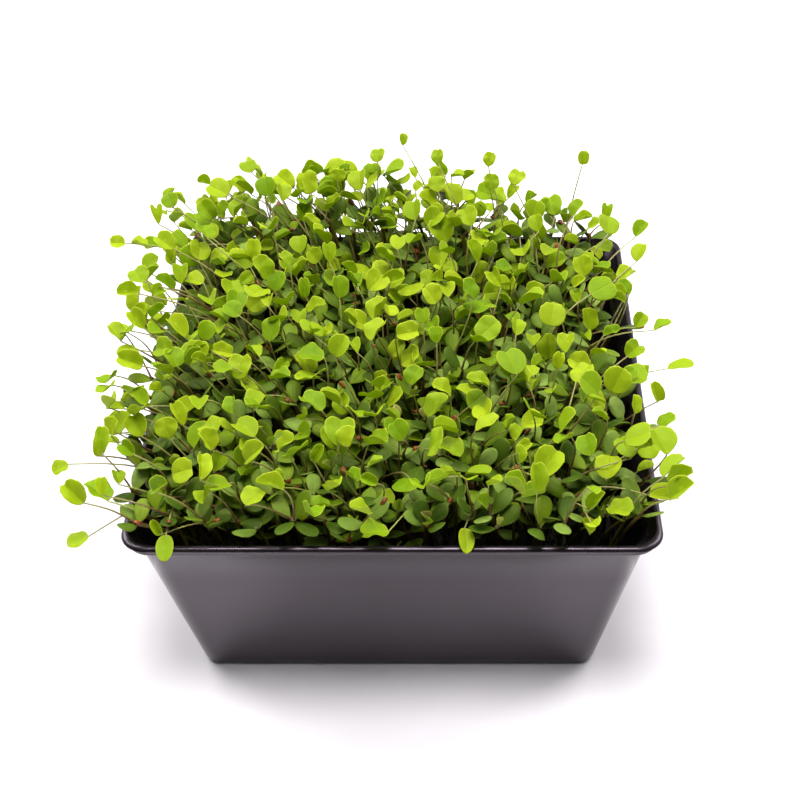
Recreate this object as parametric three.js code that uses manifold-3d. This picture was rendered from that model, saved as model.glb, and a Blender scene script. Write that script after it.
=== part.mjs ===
// A tray of clover microgreens: a square black plastic tub, filled with growing medium, and the
// seedlings that stand in it. Millimetres, +Z up, origin at the middle of the tray's foot.
//
// Each seedling is a thin stem, a pair of oval seed leaves and, on a longer stalk, one fan-shaped
// first leaf. Neighbouring seedlings share a small plug of matted roots, and each plug with its
// seedlings is one solid, which stands in a plain pocket in the growing medium.
import * as THREE from "three";
import { mergeVertices } from "three/addons/utils/BufferGeometryUtils.js";
import Module from "manifold-3d";

const wasm = await Module();
wasm.setup();

// Driving dimensions
const RIM_HALF = 65;
const HEIGHT = 58;
const BASE_HALF = 52.7;
const NECK_HALF = 62.1;
const NECK_Z = 54.9;
const WALL = 1.5;
const CORNER = 4;
const FLOOR_TOP = 1.8;
const DRAIN_RADIUS = 2;
const DRAIN_AT = 34;
const FIT_GAP = 0.35;
const LIP_WIDE = 1.7;
const SKIRT_HALF = 64.1;

const SOIL_TOP = 32;
const SOIL_LUMP = 0.5;
const PLUGS_ACROSS = 5;
const PLUG_PITCH = 20.5;
const PLUG_RADIUS = 5.4;
const PLUG_SIDES = 6;
const PLUG_BOTTOM = 22;
const PLUG_TOP = 33.6;
const ROOT_DEPTH = 1.6;
const ROOT_MARGIN = 1.8;
const PER_PLUG = 4;
const CROWD_STEP = 5;

const STEM_RADIUS = 0.65;
const BLADE_THICK = 0.6;
const SEED_LEAF = { long: 7, wide: 4.6 };
const FAN_SHARE = 0.88;
const DROOP = 0.06;
const CANOPY_Z = 62;
const CANOPY_RISE = 0.05;
const LEAN = 0.06;
const BARE_SHARE = 0.35;
const SOWN_HALF = 47;
const CROWN_HALF = 52;
const SQUARE_COLUMNS = 16;

// How near a seedling may come to the tub and to its neighbours
const TRAY_CLEARANCE = 1.2;
const BLADE_CLEARANCE = 0.7;
const STEM_CLEARANCE = 1.7;
const FAR_APART = 60;
const TRIES = 80;
const FILL_SEED = 9000;

// The point of view that the leading leaves are sighted from: a photograph of 800 x 800 pixels
const VIEW = { eye: [14.7, -296.4, 307.5], pitch: 41.17, focal: 1434.4, middle: [453.7, 400] };

const radians = THREE.MathUtils.degToRad;
const vec = (x, y, z) => new THREE.Vector3(x, y, z);

// Half widths of the tub's outside and inside at a height
const outerHalf = (z) => BASE_HALF + ((NECK_HALF - BASE_HALF) * z) / NECK_Z;
const innerHalf = (z) => outerHalf(z) - WALL;

// Where the sight line through a pixel is at a height
function sighted(px, py, z) {
  const pitch = radians(VIEW.pitch);
  const right = px - VIEW.middle[0];
  const down = py - VIEW.middle[1];
  const ray = vec(
    right,
    VIEW.focal * Math.cos(pitch) - down * Math.sin(pitch),
    -VIEW.focal * Math.sin(pitch) - down * Math.cos(pitch),
  );
  const eye = vec(...VIEW.eye);
  return eye.addScaledVector(ray, (z - eye.z) / ray.z);
}

// A repeatable stream of numbers from 0 to 1, and draws from it within a range
function stream(seed) {
  let state = (seed * 7919 + 12345) % 4294967296;
  const next = () => {
    state = (state * 1664525 + 1013904223) % 4294967296;
    return state / 4294967296;
  };
  next();
  next();
  next();
  return next;
}

const around = (draw, middle, range) => middle + range * (draw() - 0.5);
const between = (draw, low, high) => low + (high - low) * draw();

// Solids

// A three.js geometry as a solid that can be cut and joined
function solid(geometry) {
  const loose = geometry.clone();
  loose.deleteAttribute("normal");
  loose.deleteAttribute("uv");
  const merged = mergeVertices(loose, 1e-4);
  const corners = merged.index.array;
  const kept = [];
  for (let i = 0; i < corners.length; i += 3) {
    const [a, b, c] = corners.slice(i, i + 3);
    if (a !== b && b !== c && a !== c) kept.push(a, b, c);
  }
  const vertProperties = new Float32Array(merged.attributes.position.array);
  return new wasm.Manifold(
    new wasm.Mesh({ numProp: 3, vertProperties, triVerts: new Uint32Array(kept) }),
  );
}

// A solid as a named mesh
function meshOf(name, made, material) {
  const { numProp, vertProperties, triVerts } = made.getMesh();
  const geometry = new THREE.BufferGeometry();
  geometry.setAttribute("position", new THREE.BufferAttribute(vertProperties, numProp));
  geometry.setIndex(new THREE.BufferAttribute(triVerts, 1));
  geometry.computeVertexNormals();
  const mesh = new THREE.Mesh(geometry, material);
  mesh.name = name;
  return mesh;
}

// A profile of [half width, height] points, turned about Z and then squared off: each column of the
// turned shape moves out to a square with rounded corners that share one centre at each height
function squared(profile, lumps = () => 0) {
  const points = profile.map(([half, z]) => new THREE.Vector2(half, z));
  const geometry = new THREE.LatheGeometry(points, SQUARE_COLUMNS);
  const place = geometry.attributes.position;
  const perCorner = SQUARE_COLUMNS / 4;
  for (let i = 0; i < place.count; i++) {
    const column = Math.floor(i / points.length) % SQUARE_COLUMNS;
    const { x: half, y: z } = points[i % points.length];
    const corner = Math.floor(column / perCorner);
    const turn = (corner + (column % perCorner) / (perCorner - 1)) * (Math.PI / 2);
    const radius = Math.max(half - (outerHalf(z) - CORNER), half * 0.1);
    const middle = half - radius;
    const x = middle * (corner === 0 || corner === 3 ? 1 : -1) + radius * Math.cos(turn);
    const y = middle * (corner < 2 ? 1 : -1) + radius * Math.sin(turn);
    place.setXYZ(i, x, y, z + lumps(x, y, z));
  }
  return geometry;
}

// An upright prism with n sides
function prism(radius, low, high, sides, x, y) {
  const geometry = new THREE.CylinderGeometry(radius, radius, high - low, sides);
  geometry.rotateX(Math.PI / 2);
  geometry.translate(x, y, (low + high) / 2);
  return solid(geometry);
}

// The tub: a flat floor and a tapered wall that flares into a rounded lip with a thin skirt under it.
// Water drains through a small hole near each corner of the floor.
function makeTray() {
  const profile = [
    [0, 0],
    [50.6, 0],
    [52, 0.5],
    [52.8, 1.5],
    [outerHalf(3), 3],
    [outerHalf(NECK_Z), NECK_Z],
    [SKIRT_HALF, NECK_Z],
    [SKIRT_HALF, 55.9],
    [RIM_HALF - 0.35, 56.4],
    [RIM_HALF, 56.9],
    [RIM_HALF, 57.5],
    [RIM_HALF - 0.4, HEIGHT - 0.05],
    [RIM_HALF - LIP_WIDE / 2, HEIGHT],
    [RIM_HALF - LIP_WIDE + 0.3, HEIGHT - 0.1],
    [RIM_HALF - LIP_WIDE, HEIGHT - 0.6],
    [innerHalf(54.4), 54.4],
    [innerHalf(5), 5],
    [51.1, 3.1],
    [50, 2.2],
    [48.6, FLOOR_TOP],
    [0, FLOOR_TOP],
  ];
  let tray = solid(squared(profile));
  for (const [x, y] of [[1, 1], [-1, 1], [-1, -1], [1, -1]]) {
    tray = tray.subtract(prism(DRAIN_RADIUS, -1, 3, 8, x * DRAIN_AT, y * DRAIN_AT));
  }
  return tray;
}

// The growing medium: it fills the tub to well under the rim, and its top is gently lumpy
function makeSoil(plugs) {
  const lumps = (x, y, z) =>
    z < SOIL_TOP - 0.5 ? 0 : SOIL_LUMP * (Math.sin(x * 0.41 + 1) + Math.sin(y * 0.37 + x * 0.11));
  const profile = [
    [0, FLOOR_TOP + FIT_GAP],
    [48.3, FLOOR_TOP + FIT_GAP],
    [49.5, 2.6],
    [50.5, 3.4],
    [innerHalf(6) - FIT_GAP, 6],
    [innerHalf(SOIL_TOP - 1.5) - FIT_GAP, SOIL_TOP - 1.5],
    [innerHalf(SOIL_TOP) - 2, SOIL_TOP],
    [44, SOIL_TOP],
    [33, SOIL_TOP],
    [22, SOIL_TOP],
    [11, SOIL_TOP],
    [0, SOIL_TOP],
  ];
  let soil = solid(squared(profile, lumps));
  for (const { x, y } of plugs) {
    soil = soil.subtract(
      prism(PLUG_RADIUS + FIT_GAP, PLUG_BOTTOM - FIT_GAP, SOIL_TOP + 5, PLUG_SIDES, x, y),
    );
  }
  return soil;
}

// Leaves and stems

// The axes of a blade: forward along its midrib, across it, and up out of its face
function bladeAxes({ heading, lift, roll }) {
  const h = radians(heading);
  const l = radians(lift);
  const r = radians(roll);
  const forward = vec(Math.cos(h) * Math.cos(l), Math.sin(h) * Math.cos(l), Math.sin(l));
  const level = vec(-Math.sin(h), Math.cos(h), 0);
  const face = forward.clone().cross(level);
  const across = level.clone().multiplyScalar(Math.cos(r)).addScaledVector(face, Math.sin(r));
  const up = face.clone().multiplyScalar(Math.cos(r)).addScaledVector(level, -Math.sin(r));
  return { forward, across, up };
}

// The round area that a blade takes up, for keeping blades apart
function discOf(blade) {
  const { forward, up } = bladeAxes(blade);
  const radius = Math.max(blade.long, blade.wide) / 2;
  const rise = (blade.wide * Math.tan(radians(blade.fold))) / 4;
  const at = blade.base.clone().addScaledVector(forward, blade.long / 2).addScaledVector(up, rise);
  return { at, up, radius };
}

// A thin closed plate from rows of [along, half width] shares, folded along the midrib and drooping
// towards the tip. A row with three points has one on the midrib.
function plate(blade, rows) {
  const { forward, across, up } = bladeAxes(blade);
  const rise = Math.tan(radians(blade.fold));
  const top = [];
  const put = (u, v) => {
    const lean = Math.abs(v) * blade.wide * rise - blade.droop * blade.long * u * u;
    const point = blade.base.clone().addScaledVector(forward, u * blade.long);
    top.push(point.addScaledVector(across, v * blade.wide).addScaledVector(up, lean));
    return top.length - 1;
  };
  const grid = rows.map(([u, half, middle]) => {
    if (half === 0) return [put(u, 0)];
    const left = put(u, half);
    const centre = middle === undefined ? [] : [put(middle, 0)];
    return [left, ...centre, put(u, -half)];
  });
  const faces = [];
  for (let i = 1; i < grid.length; i++) {
    const [near, far] = [grid[i - 1], grid[i]];
    if (near.length === 1) {
      for (let k = 1; k < far.length; k++) faces.push([near[0], far[k], far[k - 1]]);
    } else if (far.length === 1) {
      for (let k = 1; k < near.length; k++) faces.push([near[k - 1], near[k], far[0]]);
    } else {
      for (let k = 1; k < near.length; k++) {
        faces.push([near[k - 1], near[k], far[k]], [near[k - 1], far[k], far[k - 1]]);
      }
    }
  }
  const left = grid.map((row) => row[0]);
  const right = grid.map((row) => row[row.length - 1]);
  const last = grid[grid.length - 1];
  const edge = [...new Set([...left, ...last, ...right.reverse()])];
  const lower = top.length;
  const places = [];
  for (const side of [0.5, -0.5]) {
    for (const p of top) {
      places.push(...p.clone().addScaledVector(up, side * BLADE_THICK).toArray());
    }
  }
  const index = [];
  for (const [a, b, c] of faces) index.push(a, b, c, lower + a, lower + c, lower + b);
  edge.forEach((a, i) => {
    const b = edge[(i + 1) % edge.length];
    index.push(a, b, lower + b, a, lower + b, lower + a);
  });
  const geometry = new THREE.BufferGeometry();
  geometry.setAttribute("position", new THREE.Float32BufferAttribute(places, 3));
  geometry.setIndex(index);
  const made = solid(geometry);
  return made.volume() < 0 ? solid(flipped(geometry)) : made;
}

function flipped(geometry) {
  const turned = geometry.clone();
  const order = [...turned.index.array];
  for (let i = 0; i < order.length; i += 3) [order[i + 1], order[i + 2]] = [order[i + 2], order[i + 1]];
  turned.setIndex(order);
  return turned;
}

// An oval seed leaf, and a fan-shaped first leaf with a blunt round end
const OVAL = [[0, 0], [0.36, 0.44], [0.76, 0.42], [1, 0]];
const FAN = [[0, 0], [0.34, 0.36, 0.3], [0.68, 0.5, 0.66], [0.9, 0.34, 1]];

// A stem with its leaf stalk is one tube: it bows out of the root, and bends again at the crown
const CROWN_SHARE = 2 / 3;

class Shoot extends THREE.Curve {
  constructor(root, crown, tip) {
    super();
    this.joints = [root, crown, tip];
  }
  getPoint(t) {
    const [root, crown, tip] = this.joints;
    if (t > CROWN_SHARE) return crown.clone().lerp(tip, (t - CROWN_SHARE) / (1 - CROWN_SHARE));
    const s = t / CROWN_SHARE;
    const bow = vec(root.x - crown.x, root.y - crown.y, 0).multiplyScalar(0.5 * s * (1 - s));
    return root.clone().lerp(crown, s).add(bow);
  }
  getPointAt(t) {
    return this.getPoint(t);
  }
  getTangentAt(t) {
    return this.getTangent(t);
  }
}

function tube(curve, radius, steps) {
  const section = new THREE.Shape();
  for (let k = 0; k < 3; k++) {
    const turn = (k * 2 * Math.PI) / 3;
    const point = [radius * Math.cos(turn), radius * Math.sin(turn)];
    if (k === 0) section.moveTo(...point);
    else section.lineTo(...point);
  }
  section.closePath();
  return solid(new THREE.ExtrudeGeometry(section, { steps, extrudePath: curve }));
}

function makeSeedling(seedling) {
  const { root, crown, leaf, seedLeaves } = seedling;
  const bud = crown.clone().add(vec(0, 0, 1.2));
  let made = tube(new Shoot(root, crown, leaf ? stalkEnd(leaf) : bud), STEM_RADIUS, 3);
  for (const blade of seedLeaves) made = made.add(plate(blade, OVAL));
  if (leaf) made = made.add(plate(leaf, leaf.outline));
  return made;
}

// The leaf stalk ends a little way into its blade
function stalkEnd(leaf) {
  return leaf.base.clone().addScaledVector(bladeAxes(leaf).forward, 0.15);
}

// Where the seedlings stand

// Leading leaves, sighted one by one: the blade's middle as pixels across and down and a height, then
// its width, heading and lift. The few with a length too are oval leaves that hang over the rim.
const LEADERS = [
  [60, 468, 60, 5, 190, -5],
  [77, 539, 60, 6, 195, -5],
  [110, 441, 64, 5.5, 180, 5],
  [114, 408, 68, 6, 170, 10],
  [134, 406, 71, 7, 150, 25],
  [153, 386, 75, 6.5, 120, 40],
  [128, 354, 72, 6.5, 195, 10],
  [121, 328, 74, 5, 170, 20],
  [127, 293, 76, 7, 180, 15],
  [139, 275, 78, 6.5, 150, 25],
  [143, 310, 73, 5.5, 200, 5],
  [117, 243, 78, 5, 170, 20],
  [139, 244, 79, 5.5, 160, 20],
  [164, 242, 80, 7.5, 165, 20],
  [180, 238, 79, 6.5, 120, 40],
  [154, 218, 84, 5, 150, 30],
  [170, 200, 86, 5.2, 135, 40],
  [218, 189, 88, 7.5, 170, 30],
  [197, 209, 84, 6, 140, 40],
  [205, 231, 80, 7, 130, 20],
  [248, 166, 90, 5.2, 120, 40],
  [266, 186, 88, 6.5, 100, 50],
  [282, 192, 87, 6.5, 100, 40],
  [307, 182, 88, 8, 110, 50],
  [338, 175, 89, 4.5, 90, 60],
  [360, 180, 88, 7.5, 90, 40],
  [378, 155, 92, 5, 110, 30],
  [403, 139, 93, 4.2, 100, 60],
  [438, 156, 91, 5.2, 90, 50],
  [490, 159, 91, 5, 90, 50],
  [491, 181, 87, 5.4, 80, 40],
  [517, 177, 87, 5.8, 80, 50],
  [436, 184, 86, 5.6, 100, 40],
  [467, 196, 84, 6.6, 60, 30],
  [441, 230, 82, 9, 95, 35],
  [583, 157, 89, 4.8, 80, 60],
  [537, 223, 79, 6, 90, 40],
  [577, 208, 81, 6.5, 60, 40],
  [608, 224, 76, 7.5, 70, 20],
  [641, 229, 76, 6.4, 45, 30],
  [640, 252, 74, 6.4, 50, 30],
  [602, 288, 75, 8.5, 15, 20],
  [663, 326, 70, 6.2, 30, 20],
  [640, 320, 68, 5.6, 60, 20],
  [634, 350, 70, 6.4, 20, 20],
  [681, 367, 68, 8.2, 0, 10],
  [634, 376, 72, 8, 330, 20],
  [583, 373, 77, 7.5, 60, 30],
  [552, 314, 78, 7.4, 100, 30],
  [511, 361, 81, 9, 95, 30],
  [666, 419, 66, 5.8, 40, 30],
  [626, 447, 71, 8, 100, 20],
  [649, 446, 67, 7.4, 0, 20],
  [664, 496, 64, 8, 0, 10],
  [621, 510, 66, 7.6, 330, 15],
  [548, 463, 75, 10, 65, 25],
  [515, 510, 65, 4.4, 80, 30],
  [340, 431, 77, 9, 110, 30],
  [223, 427, 73, 6, 170, 25],
  [244, 429, 75, 7.6, 160, 20],
  [257, 401, 77, 7.4, 250, 10],
  [241, 366, 79, 8, 100, 30],
  [193, 352, 76, 7, 110, 35],
  [173, 357, 76, 6.4, 120, 40],
  [272, 329, 81, 7.4, 60, 35],
  [278, 281, 82, 6.5, 80, 50],
  [374, 532, 64, 8, 190, 5],
  [406, 484, 71, 7.2, 250, 10],
  [415, 375, 81, 6.2, 60, 40],
  [469, 289, 83, 7, 120, 40],
  [431, 294, 82, 6.6, 160, 40],
  [165, 548, 61, 4.6, 250, -8, 6.8],
  [303, 514, 62, 4.4, 270, 10, 6.6],
  [466, 540, 61, 4.4, 285, -8, 6.6],
  [600, 549, 61, 4.4, 240, -8, 6.4],
];

function plugPlaces() {
  const places = [];
  const first = (-(PLUGS_ACROSS - 1) * PLUG_PITCH) / 2;
  for (let row = 0; row < PLUGS_ACROSS; row++) {
    for (let column = 0; column < PLUGS_ACROSS; column++) {
      places.push({ x: first + column * PLUG_PITCH, y: first + row * PLUG_PITCH, row, column });
    }
  }
  return places;
}

const within = (value, limit) => Math.max(-limit, Math.min(limit, value));

// A plug near a point that isn't crowded yet, and the root that the point's seedling has in it
function plugNear(plugs, goals, x, y) {
  const crowd = (p) => goals.filter((goal) => goal.plug === p).length * CROWD_STEP;
  const cost = (p) => Math.hypot(p.x - x, p.y - y) + crowd(p);
  return plugs.reduce((a, b) => (cost(b) < cost(a) ? b : a));
}

function rootIn(plug, x, y) {
  const reach = Math.hypot(x - plug.x, y - plug.y);
  const share = Math.min(1, (PLUG_RADIUS - ROOT_MARGIN) / Math.max(reach, 0.001));
  return vec(plug.x + (x - plug.x) * share, plug.y + (y - plug.y) * share, PLUG_TOP - ROOT_DEPTH);
}

function seedLeavesAt(root, crown, heading, draw) {
  const node = crown.clone().lerp(root, 0.03);
  return [0, 180].map((turn) => {
    const size = between(draw, 0.88, 1.12);
    const way = around(draw, heading + turn, 24);
    const out = vec(Math.cos(radians(way)), Math.sin(radians(way)), 0);
    return {
      base: node.clone().addScaledVector(out, 0.1),
      heading: way,
      lift: between(draw, 4, 46),
      roll: around(draw, 0, 50),
      fold: 0,
      droop: DROOP,
      long: SEED_LEAF.long * size,
      wide: SEED_LEAF.wide * size,
    };
  });
}

const canopyAt = (y) => CANOPY_Z + CANOPY_RISE * y;

// One try at a leader: its leaf stays on its sight line, and its crown is drawn on the way there
function leaderTry({ root, leader }, draw) {
  const [px, py, z, wide, heading, lift, ovalLong] = leader;
  const long = ovalLong ?? wide * FAN_SHARE;
  const leaf = {
    outline: ovalLong ? OVAL : FAN,
    heading: around(draw, heading, 50),
    lift: around(draw, lift, 24),
    roll: around(draw, 0, 60),
    fold: between(draw, 6, 20),
    droop: DROOP,
    long,
    wide,
  };
  const middle = sighted(px, py, around(draw, z, 5));
  leaf.base = middle.addScaledVector(bladeAxes(leaf).forward, -long / 2);
  const share = between(draw, 0.15, 0.55);
  const crown = vec(
    within(around(draw, root.x + (leaf.base.x - root.x) * share, 13), CROWN_HALF),
    within(around(draw, root.y + (leaf.base.y - root.y) * share, 13), CROWN_HALF),
    Math.min(around(draw, canopyAt(root.y), 7), leaf.base.z - 2.5),
  );
  return { root, crown, leaf, seedLeaves: seedLeavesAt(root, crown, between(draw, 0, 360), draw) };
}

// One try at a plain seedling: it leans out of its plug and out of the tray, and a third of them
// show only their seed leaves
function plainTry({ root, plug }, draw) {
  const crown = vec(
    around(draw, root.x + (root.x - plug.x) + root.x * LEAN, 5),
    around(draw, root.y + (root.y - plug.y) + root.y * LEAN, 5),
    around(draw, canopyAt(root.y) - 3, 9),
  );
  const seedLeaves = seedLeavesAt(root, crown, between(draw, 0, 360), draw);
  if (draw() < BARE_SHARE) return { root, crown, leaf: null, seedLeaves };
  const wide = between(draw, 5.4, 8.8);
  const base = vec(
    around(draw, crown.x + root.x * LEAN, 8),
    around(draw, crown.y + root.y * LEAN, 8),
    crown.z + between(draw, 5, 16),
  );
  const leaf = {
    outline: FAN,
    base,
    heading: between(draw, 0, 360),
    lift: between(draw, 5, 55),
    roll: around(draw, 0, 60),
    fold: between(draw, 6, 20),
    droop: DROOP,
    long: wide * FAN_SHARE,
    wide,
  };
  return { root, crown, leaf, seedLeaves };
}

// The stem and stalk as a chain of points. A seedling without a first leaf has no stalk.
const CHAIN_POINTS = 18;

function chainOf({ root, crown, leaf }) {
  const curve = new Shoot(root, crown, leaf ? leaf.base : crown);
  const count = leaf ? CHAIN_POINTS : CHAIN_POINTS * CROWN_SHARE;
  const points = [];
  for (let k = 1; k <= count; k++) points.push(curve.getPoint(k / CHAIN_POINTS));
  return points;
}

const bladesOf = ({ seedLeaves, leaf }) => (leaf ? [...seedLeaves, leaf] : seedLeaves);

// Clear of the tub's wall and rim: above it, inside it or outside it
function clearOfTray(p) {
  if (p.z > HEIGHT + 0.9) return true;
  const out = Math.max(Math.abs(p.x), Math.abs(p.y));
  if (out > RIM_HALF + 1) return true;
  const room = innerHalf(Math.min(p.z, NECK_Z)) - TRAY_CLEARANCE;
  return out < room && Math.abs(p.x) + Math.abs(p.y) < 2 * room - 2;
}

function discRim({ at, up, radius }) {
  const side = Math.abs(up.z) < 0.9 ? vec(0, 0, 1) : vec(1, 0, 0);
  const a = up.clone().cross(side).normalize();
  const b = up.clone().cross(a);
  const points = [];
  for (let k = 0; k < 8; k++) {
    const turn = (k * Math.PI) / 4;
    const point = at.clone().addScaledVector(a, radius * Math.cos(turn));
    points.push(point.addScaledVector(b, radius * Math.sin(turn)));
  }
  return points;
}

// Two thin discs meet if the line that their planes share crosses both at the same place
function discsMeet(a, b) {
  const gap = b.at.clone().sub(a.at);
  if (gap.length() > a.radius + b.radius + BLADE_CLEARANCE) return false;
  const shared = a.up.clone().cross(b.up);
  const sine = shared.length();
  const fromA = Math.abs(gap.dot(a.up));
  const fromB = Math.abs(gap.dot(b.up));
  if (sine < 0.35) return fromA < 1.2 + sine * b.radius && fromB < 1.2 + sine * a.radius;
  const reach = (radius, away) =>
    Math.sqrt(Math.max(0, (radius + BLADE_CLEARANCE) ** 2 - (away / sine) ** 2));
  const chordA = reach(a.radius, fromB);
  const chordB = reach(b.radius, fromA);
  if (chordA === 0 || chordB === 0) return false;
  return Math.abs(gap.dot(shared)) / sine < chordA + chordB;
}

function chainMeetsDisc(chain, disc) {
  let before = null;
  for (const p of chain) {
    const away = p.clone().sub(disc.at);
    const above = away.dot(disc.up);
    const beside = Math.sqrt(Math.max(0, away.lengthSq() - above * above));
    if (beside < disc.radius + 0.9) {
      if (Math.abs(above) < 1.1) return true;
      if (before !== null && before * above < 0) return true;
    }
    before = above;
  }
  return false;
}

const chainsMeet = (a, b) => a.some((p) => b.some((q) => p.distanceTo(q) < STEM_CLEARANCE));

function clearOf(shape, others) {
  for (const other of others) {
    if (shape.crown.distanceTo(other.crown) > FAR_APART) continue;
    if (shape.plug !== other.plug && chainsMeet(shape.chain, other.chain)) return false;
    if (shape.discs.some((d) => other.discs.some((e) => discsMeet(d, e)))) return false;
    if (shape.discs.some((d) => chainMeetsDisc(other.chain, d))) return false;
    if (other.discs.some((d) => chainMeetsDisc(shape.chain, d))) return false;
  }
  return true;
}

function shapeOf(seedling, plug) {
  const discs = bladesOf(seedling).map(discOf);
  const chain = chainOf(seedling);
  return { ...seedling, plug, discs, chain };
}

function fitsAlone({ discs, chain, leaf }) {
  if (!chain.every(clearOfTray)) return false;
  if (!discs.every((d) => discRim(d).every(clearOfTray))) return false;
  return !leaf || (!discsMeet(discs[2], discs[0]) && !discsMeet(discs[2], discs[1]));
}

// Plants each goal in turn, at its first try that is clear of the tray and of what stands already
function plant(goals) {
  const standing = [];
  goals.forEach((goal, index) => {
    const tryAt = goal.leader ? leaderTry : plainTry;
    for (let attempt = 0; attempt < TRIES; attempt++) {
      const shape = shapeOf(tryAt(goal, stream(index * 101 + attempt)), goal.plug);
      if (fitsAlone(shape) && clearOf(shape, standing)) {
        standing.push(shape);
        return;
      }
    }
  });
  return standing;
}

function goalsFor(plugs) {
  const goals = [];
  for (const leader of LEADERS) {
    const [px, py, z] = leader;
    const seen = sighted(px, py, z);
    const [x, y] = [within(seen.x, SOWN_HALF), within(seen.y, SOWN_HALF)];
    const plug = plugNear(plugs, goals, x, y);
    goals.push({ leader, plug, root: rootIn(plug, x, y) });
  }
  plugs.forEach((plug, index) => {
    const start = between(stream(FILL_SEED + index), 30, 60);
    const missing = PER_PLUG - goals.filter((goal) => goal.plug === plug).length;
    for (let k = 0; k < missing; k++) {
      const turn = radians(start + (360 * k) / PER_PLUG);
      const [x, y] = [plug.x + PLUG_RADIUS * Math.cos(turn), plug.y + PLUG_RADIUS * Math.sin(turn)];
      goals.push({ plug, root: rootIn(plug, x, y) });
    }
  });
  return goals;
}

// Finishes
const plastic = new THREE.MeshStandardMaterial({ color: 0x17161a, roughness: 0.42, metalness: 0 });
const medium = new THREE.MeshStandardMaterial({ color: 0x2b1d14, roughness: 0.95, metalness: 0 });
const green = new THREE.MeshStandardMaterial({ color: 0x79a82a, roughness: 0.55, metalness: 0 });

// The assembly
const plugs = plugPlaces();
const seedlings = plant(goalsFor(plugs));
const tray = new THREE.Group();
tray.add(meshOf("tray", makeTray(), plastic));
tray.add(meshOf("growing_medium", makeSoil(plugs), medium));
for (const plug of plugs) {
  const own = seedlings.filter((seedling) => seedling.plug === plug);
  if (own.length === 0) continue;
  let clump = prism(PLUG_RADIUS, PLUG_BOTTOM, PLUG_TOP, PLUG_SIDES, plug.x, plug.y);
  for (const seedling of own) clump = clump.add(makeSeedling(seedling));
  tray.add(meshOf(`seedlings_row${plug.row + 1}_${plug.column + 1}`, clump, green));
}

export default tray;
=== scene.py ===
# %% [markdown]
# # A tray of clover microgreens
# The object is a square black plastic tub filled with damp peat, and a few hundred clover seedlings
# that stand in it. Each seedling has a thin stem, a pair of smooth dark-green seed leaves and, once
# it is a week or two old, one lime-green first leaf on a long stalk.
#
# A measured model of the tub and of the leading seedlings is loaded first and never moves. This
# script dresses it: it grows the same seedlings with finer leaves, adds the ones between them, and
# gives every surface its finish.

# %% Load the measured model
import math

import bmesh
import bpy
import numpy as np
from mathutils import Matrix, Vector, noise


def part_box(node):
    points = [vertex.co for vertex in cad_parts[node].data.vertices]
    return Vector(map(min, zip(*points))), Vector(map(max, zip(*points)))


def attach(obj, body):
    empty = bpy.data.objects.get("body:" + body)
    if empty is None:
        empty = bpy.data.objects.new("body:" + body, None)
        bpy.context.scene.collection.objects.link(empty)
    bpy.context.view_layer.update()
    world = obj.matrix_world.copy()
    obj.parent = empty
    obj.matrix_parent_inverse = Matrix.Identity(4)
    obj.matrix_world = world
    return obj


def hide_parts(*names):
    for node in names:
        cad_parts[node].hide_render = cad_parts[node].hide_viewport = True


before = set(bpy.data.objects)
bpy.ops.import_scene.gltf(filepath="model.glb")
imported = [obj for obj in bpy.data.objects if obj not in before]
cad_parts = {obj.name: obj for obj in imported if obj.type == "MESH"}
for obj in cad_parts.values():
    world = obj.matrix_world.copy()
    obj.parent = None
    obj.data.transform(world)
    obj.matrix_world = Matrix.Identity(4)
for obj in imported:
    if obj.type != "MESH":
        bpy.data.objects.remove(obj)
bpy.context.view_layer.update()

MM = 0.001
tray_low, tray_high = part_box("tray")
print("nodes:", len(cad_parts), "tray size in mm:", [round(s / MM, 1) for s in tray_high - tray_low])

# %% [markdown]
# ## The camera
# The photograph looks down on the tray at about 41 degrees. The eye, the pitch and the focal length
# were solved from the corners of the rim and of the base. The picture's optical middle is right of
# its centre, as if it had been cropped, so the lens is shifted by just that much. The same sight
# lines place the leading leaves further down.

# %% Camera
PICTURE = 800
VIEW_EYE = np.array([14.7, -296.4, 307.5])
VIEW_PITCH = 41.17
VIEW_FOCAL = 1434.4
VIEW_MIDDLE = (453.7, 400.0)
SENSOR = 36.0

camera_data = bpy.data.cameras.new("camera")
camera_data.sensor_width = SENSOR
camera_data.lens = SENSOR * VIEW_FOCAL / PICTURE
camera_data.shift_x = (PICTURE / 2 - VIEW_MIDDLE[0]) / PICTURE
camera_data.clip_start = 0.01
camera = bpy.data.objects.new("camera", camera_data)
camera.location = VIEW_EYE * MM
camera.rotation_euler = (math.radians(90 - VIEW_PITCH), 0, 0)
bpy.context.scene.collection.objects.link(camera)
bpy.context.scene.camera = camera
print("lens in mm:", round(camera_data.lens, 1), "shift:", round(camera_data.shift_x, 3))

# %% [markdown]
# ## Shader maths as Python
# A finish is a recipe of small sums: how red is this leaf here, how deep is this vein. Written as
# nodes one by one, such sums are hard to read, so `Signal` wraps a socket and lets Python's own
# operators add the Math nodes. `Finish` is a material under construction, and its `node` method adds
# any other node: first its settings, then the values or links of its sockets.

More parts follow.
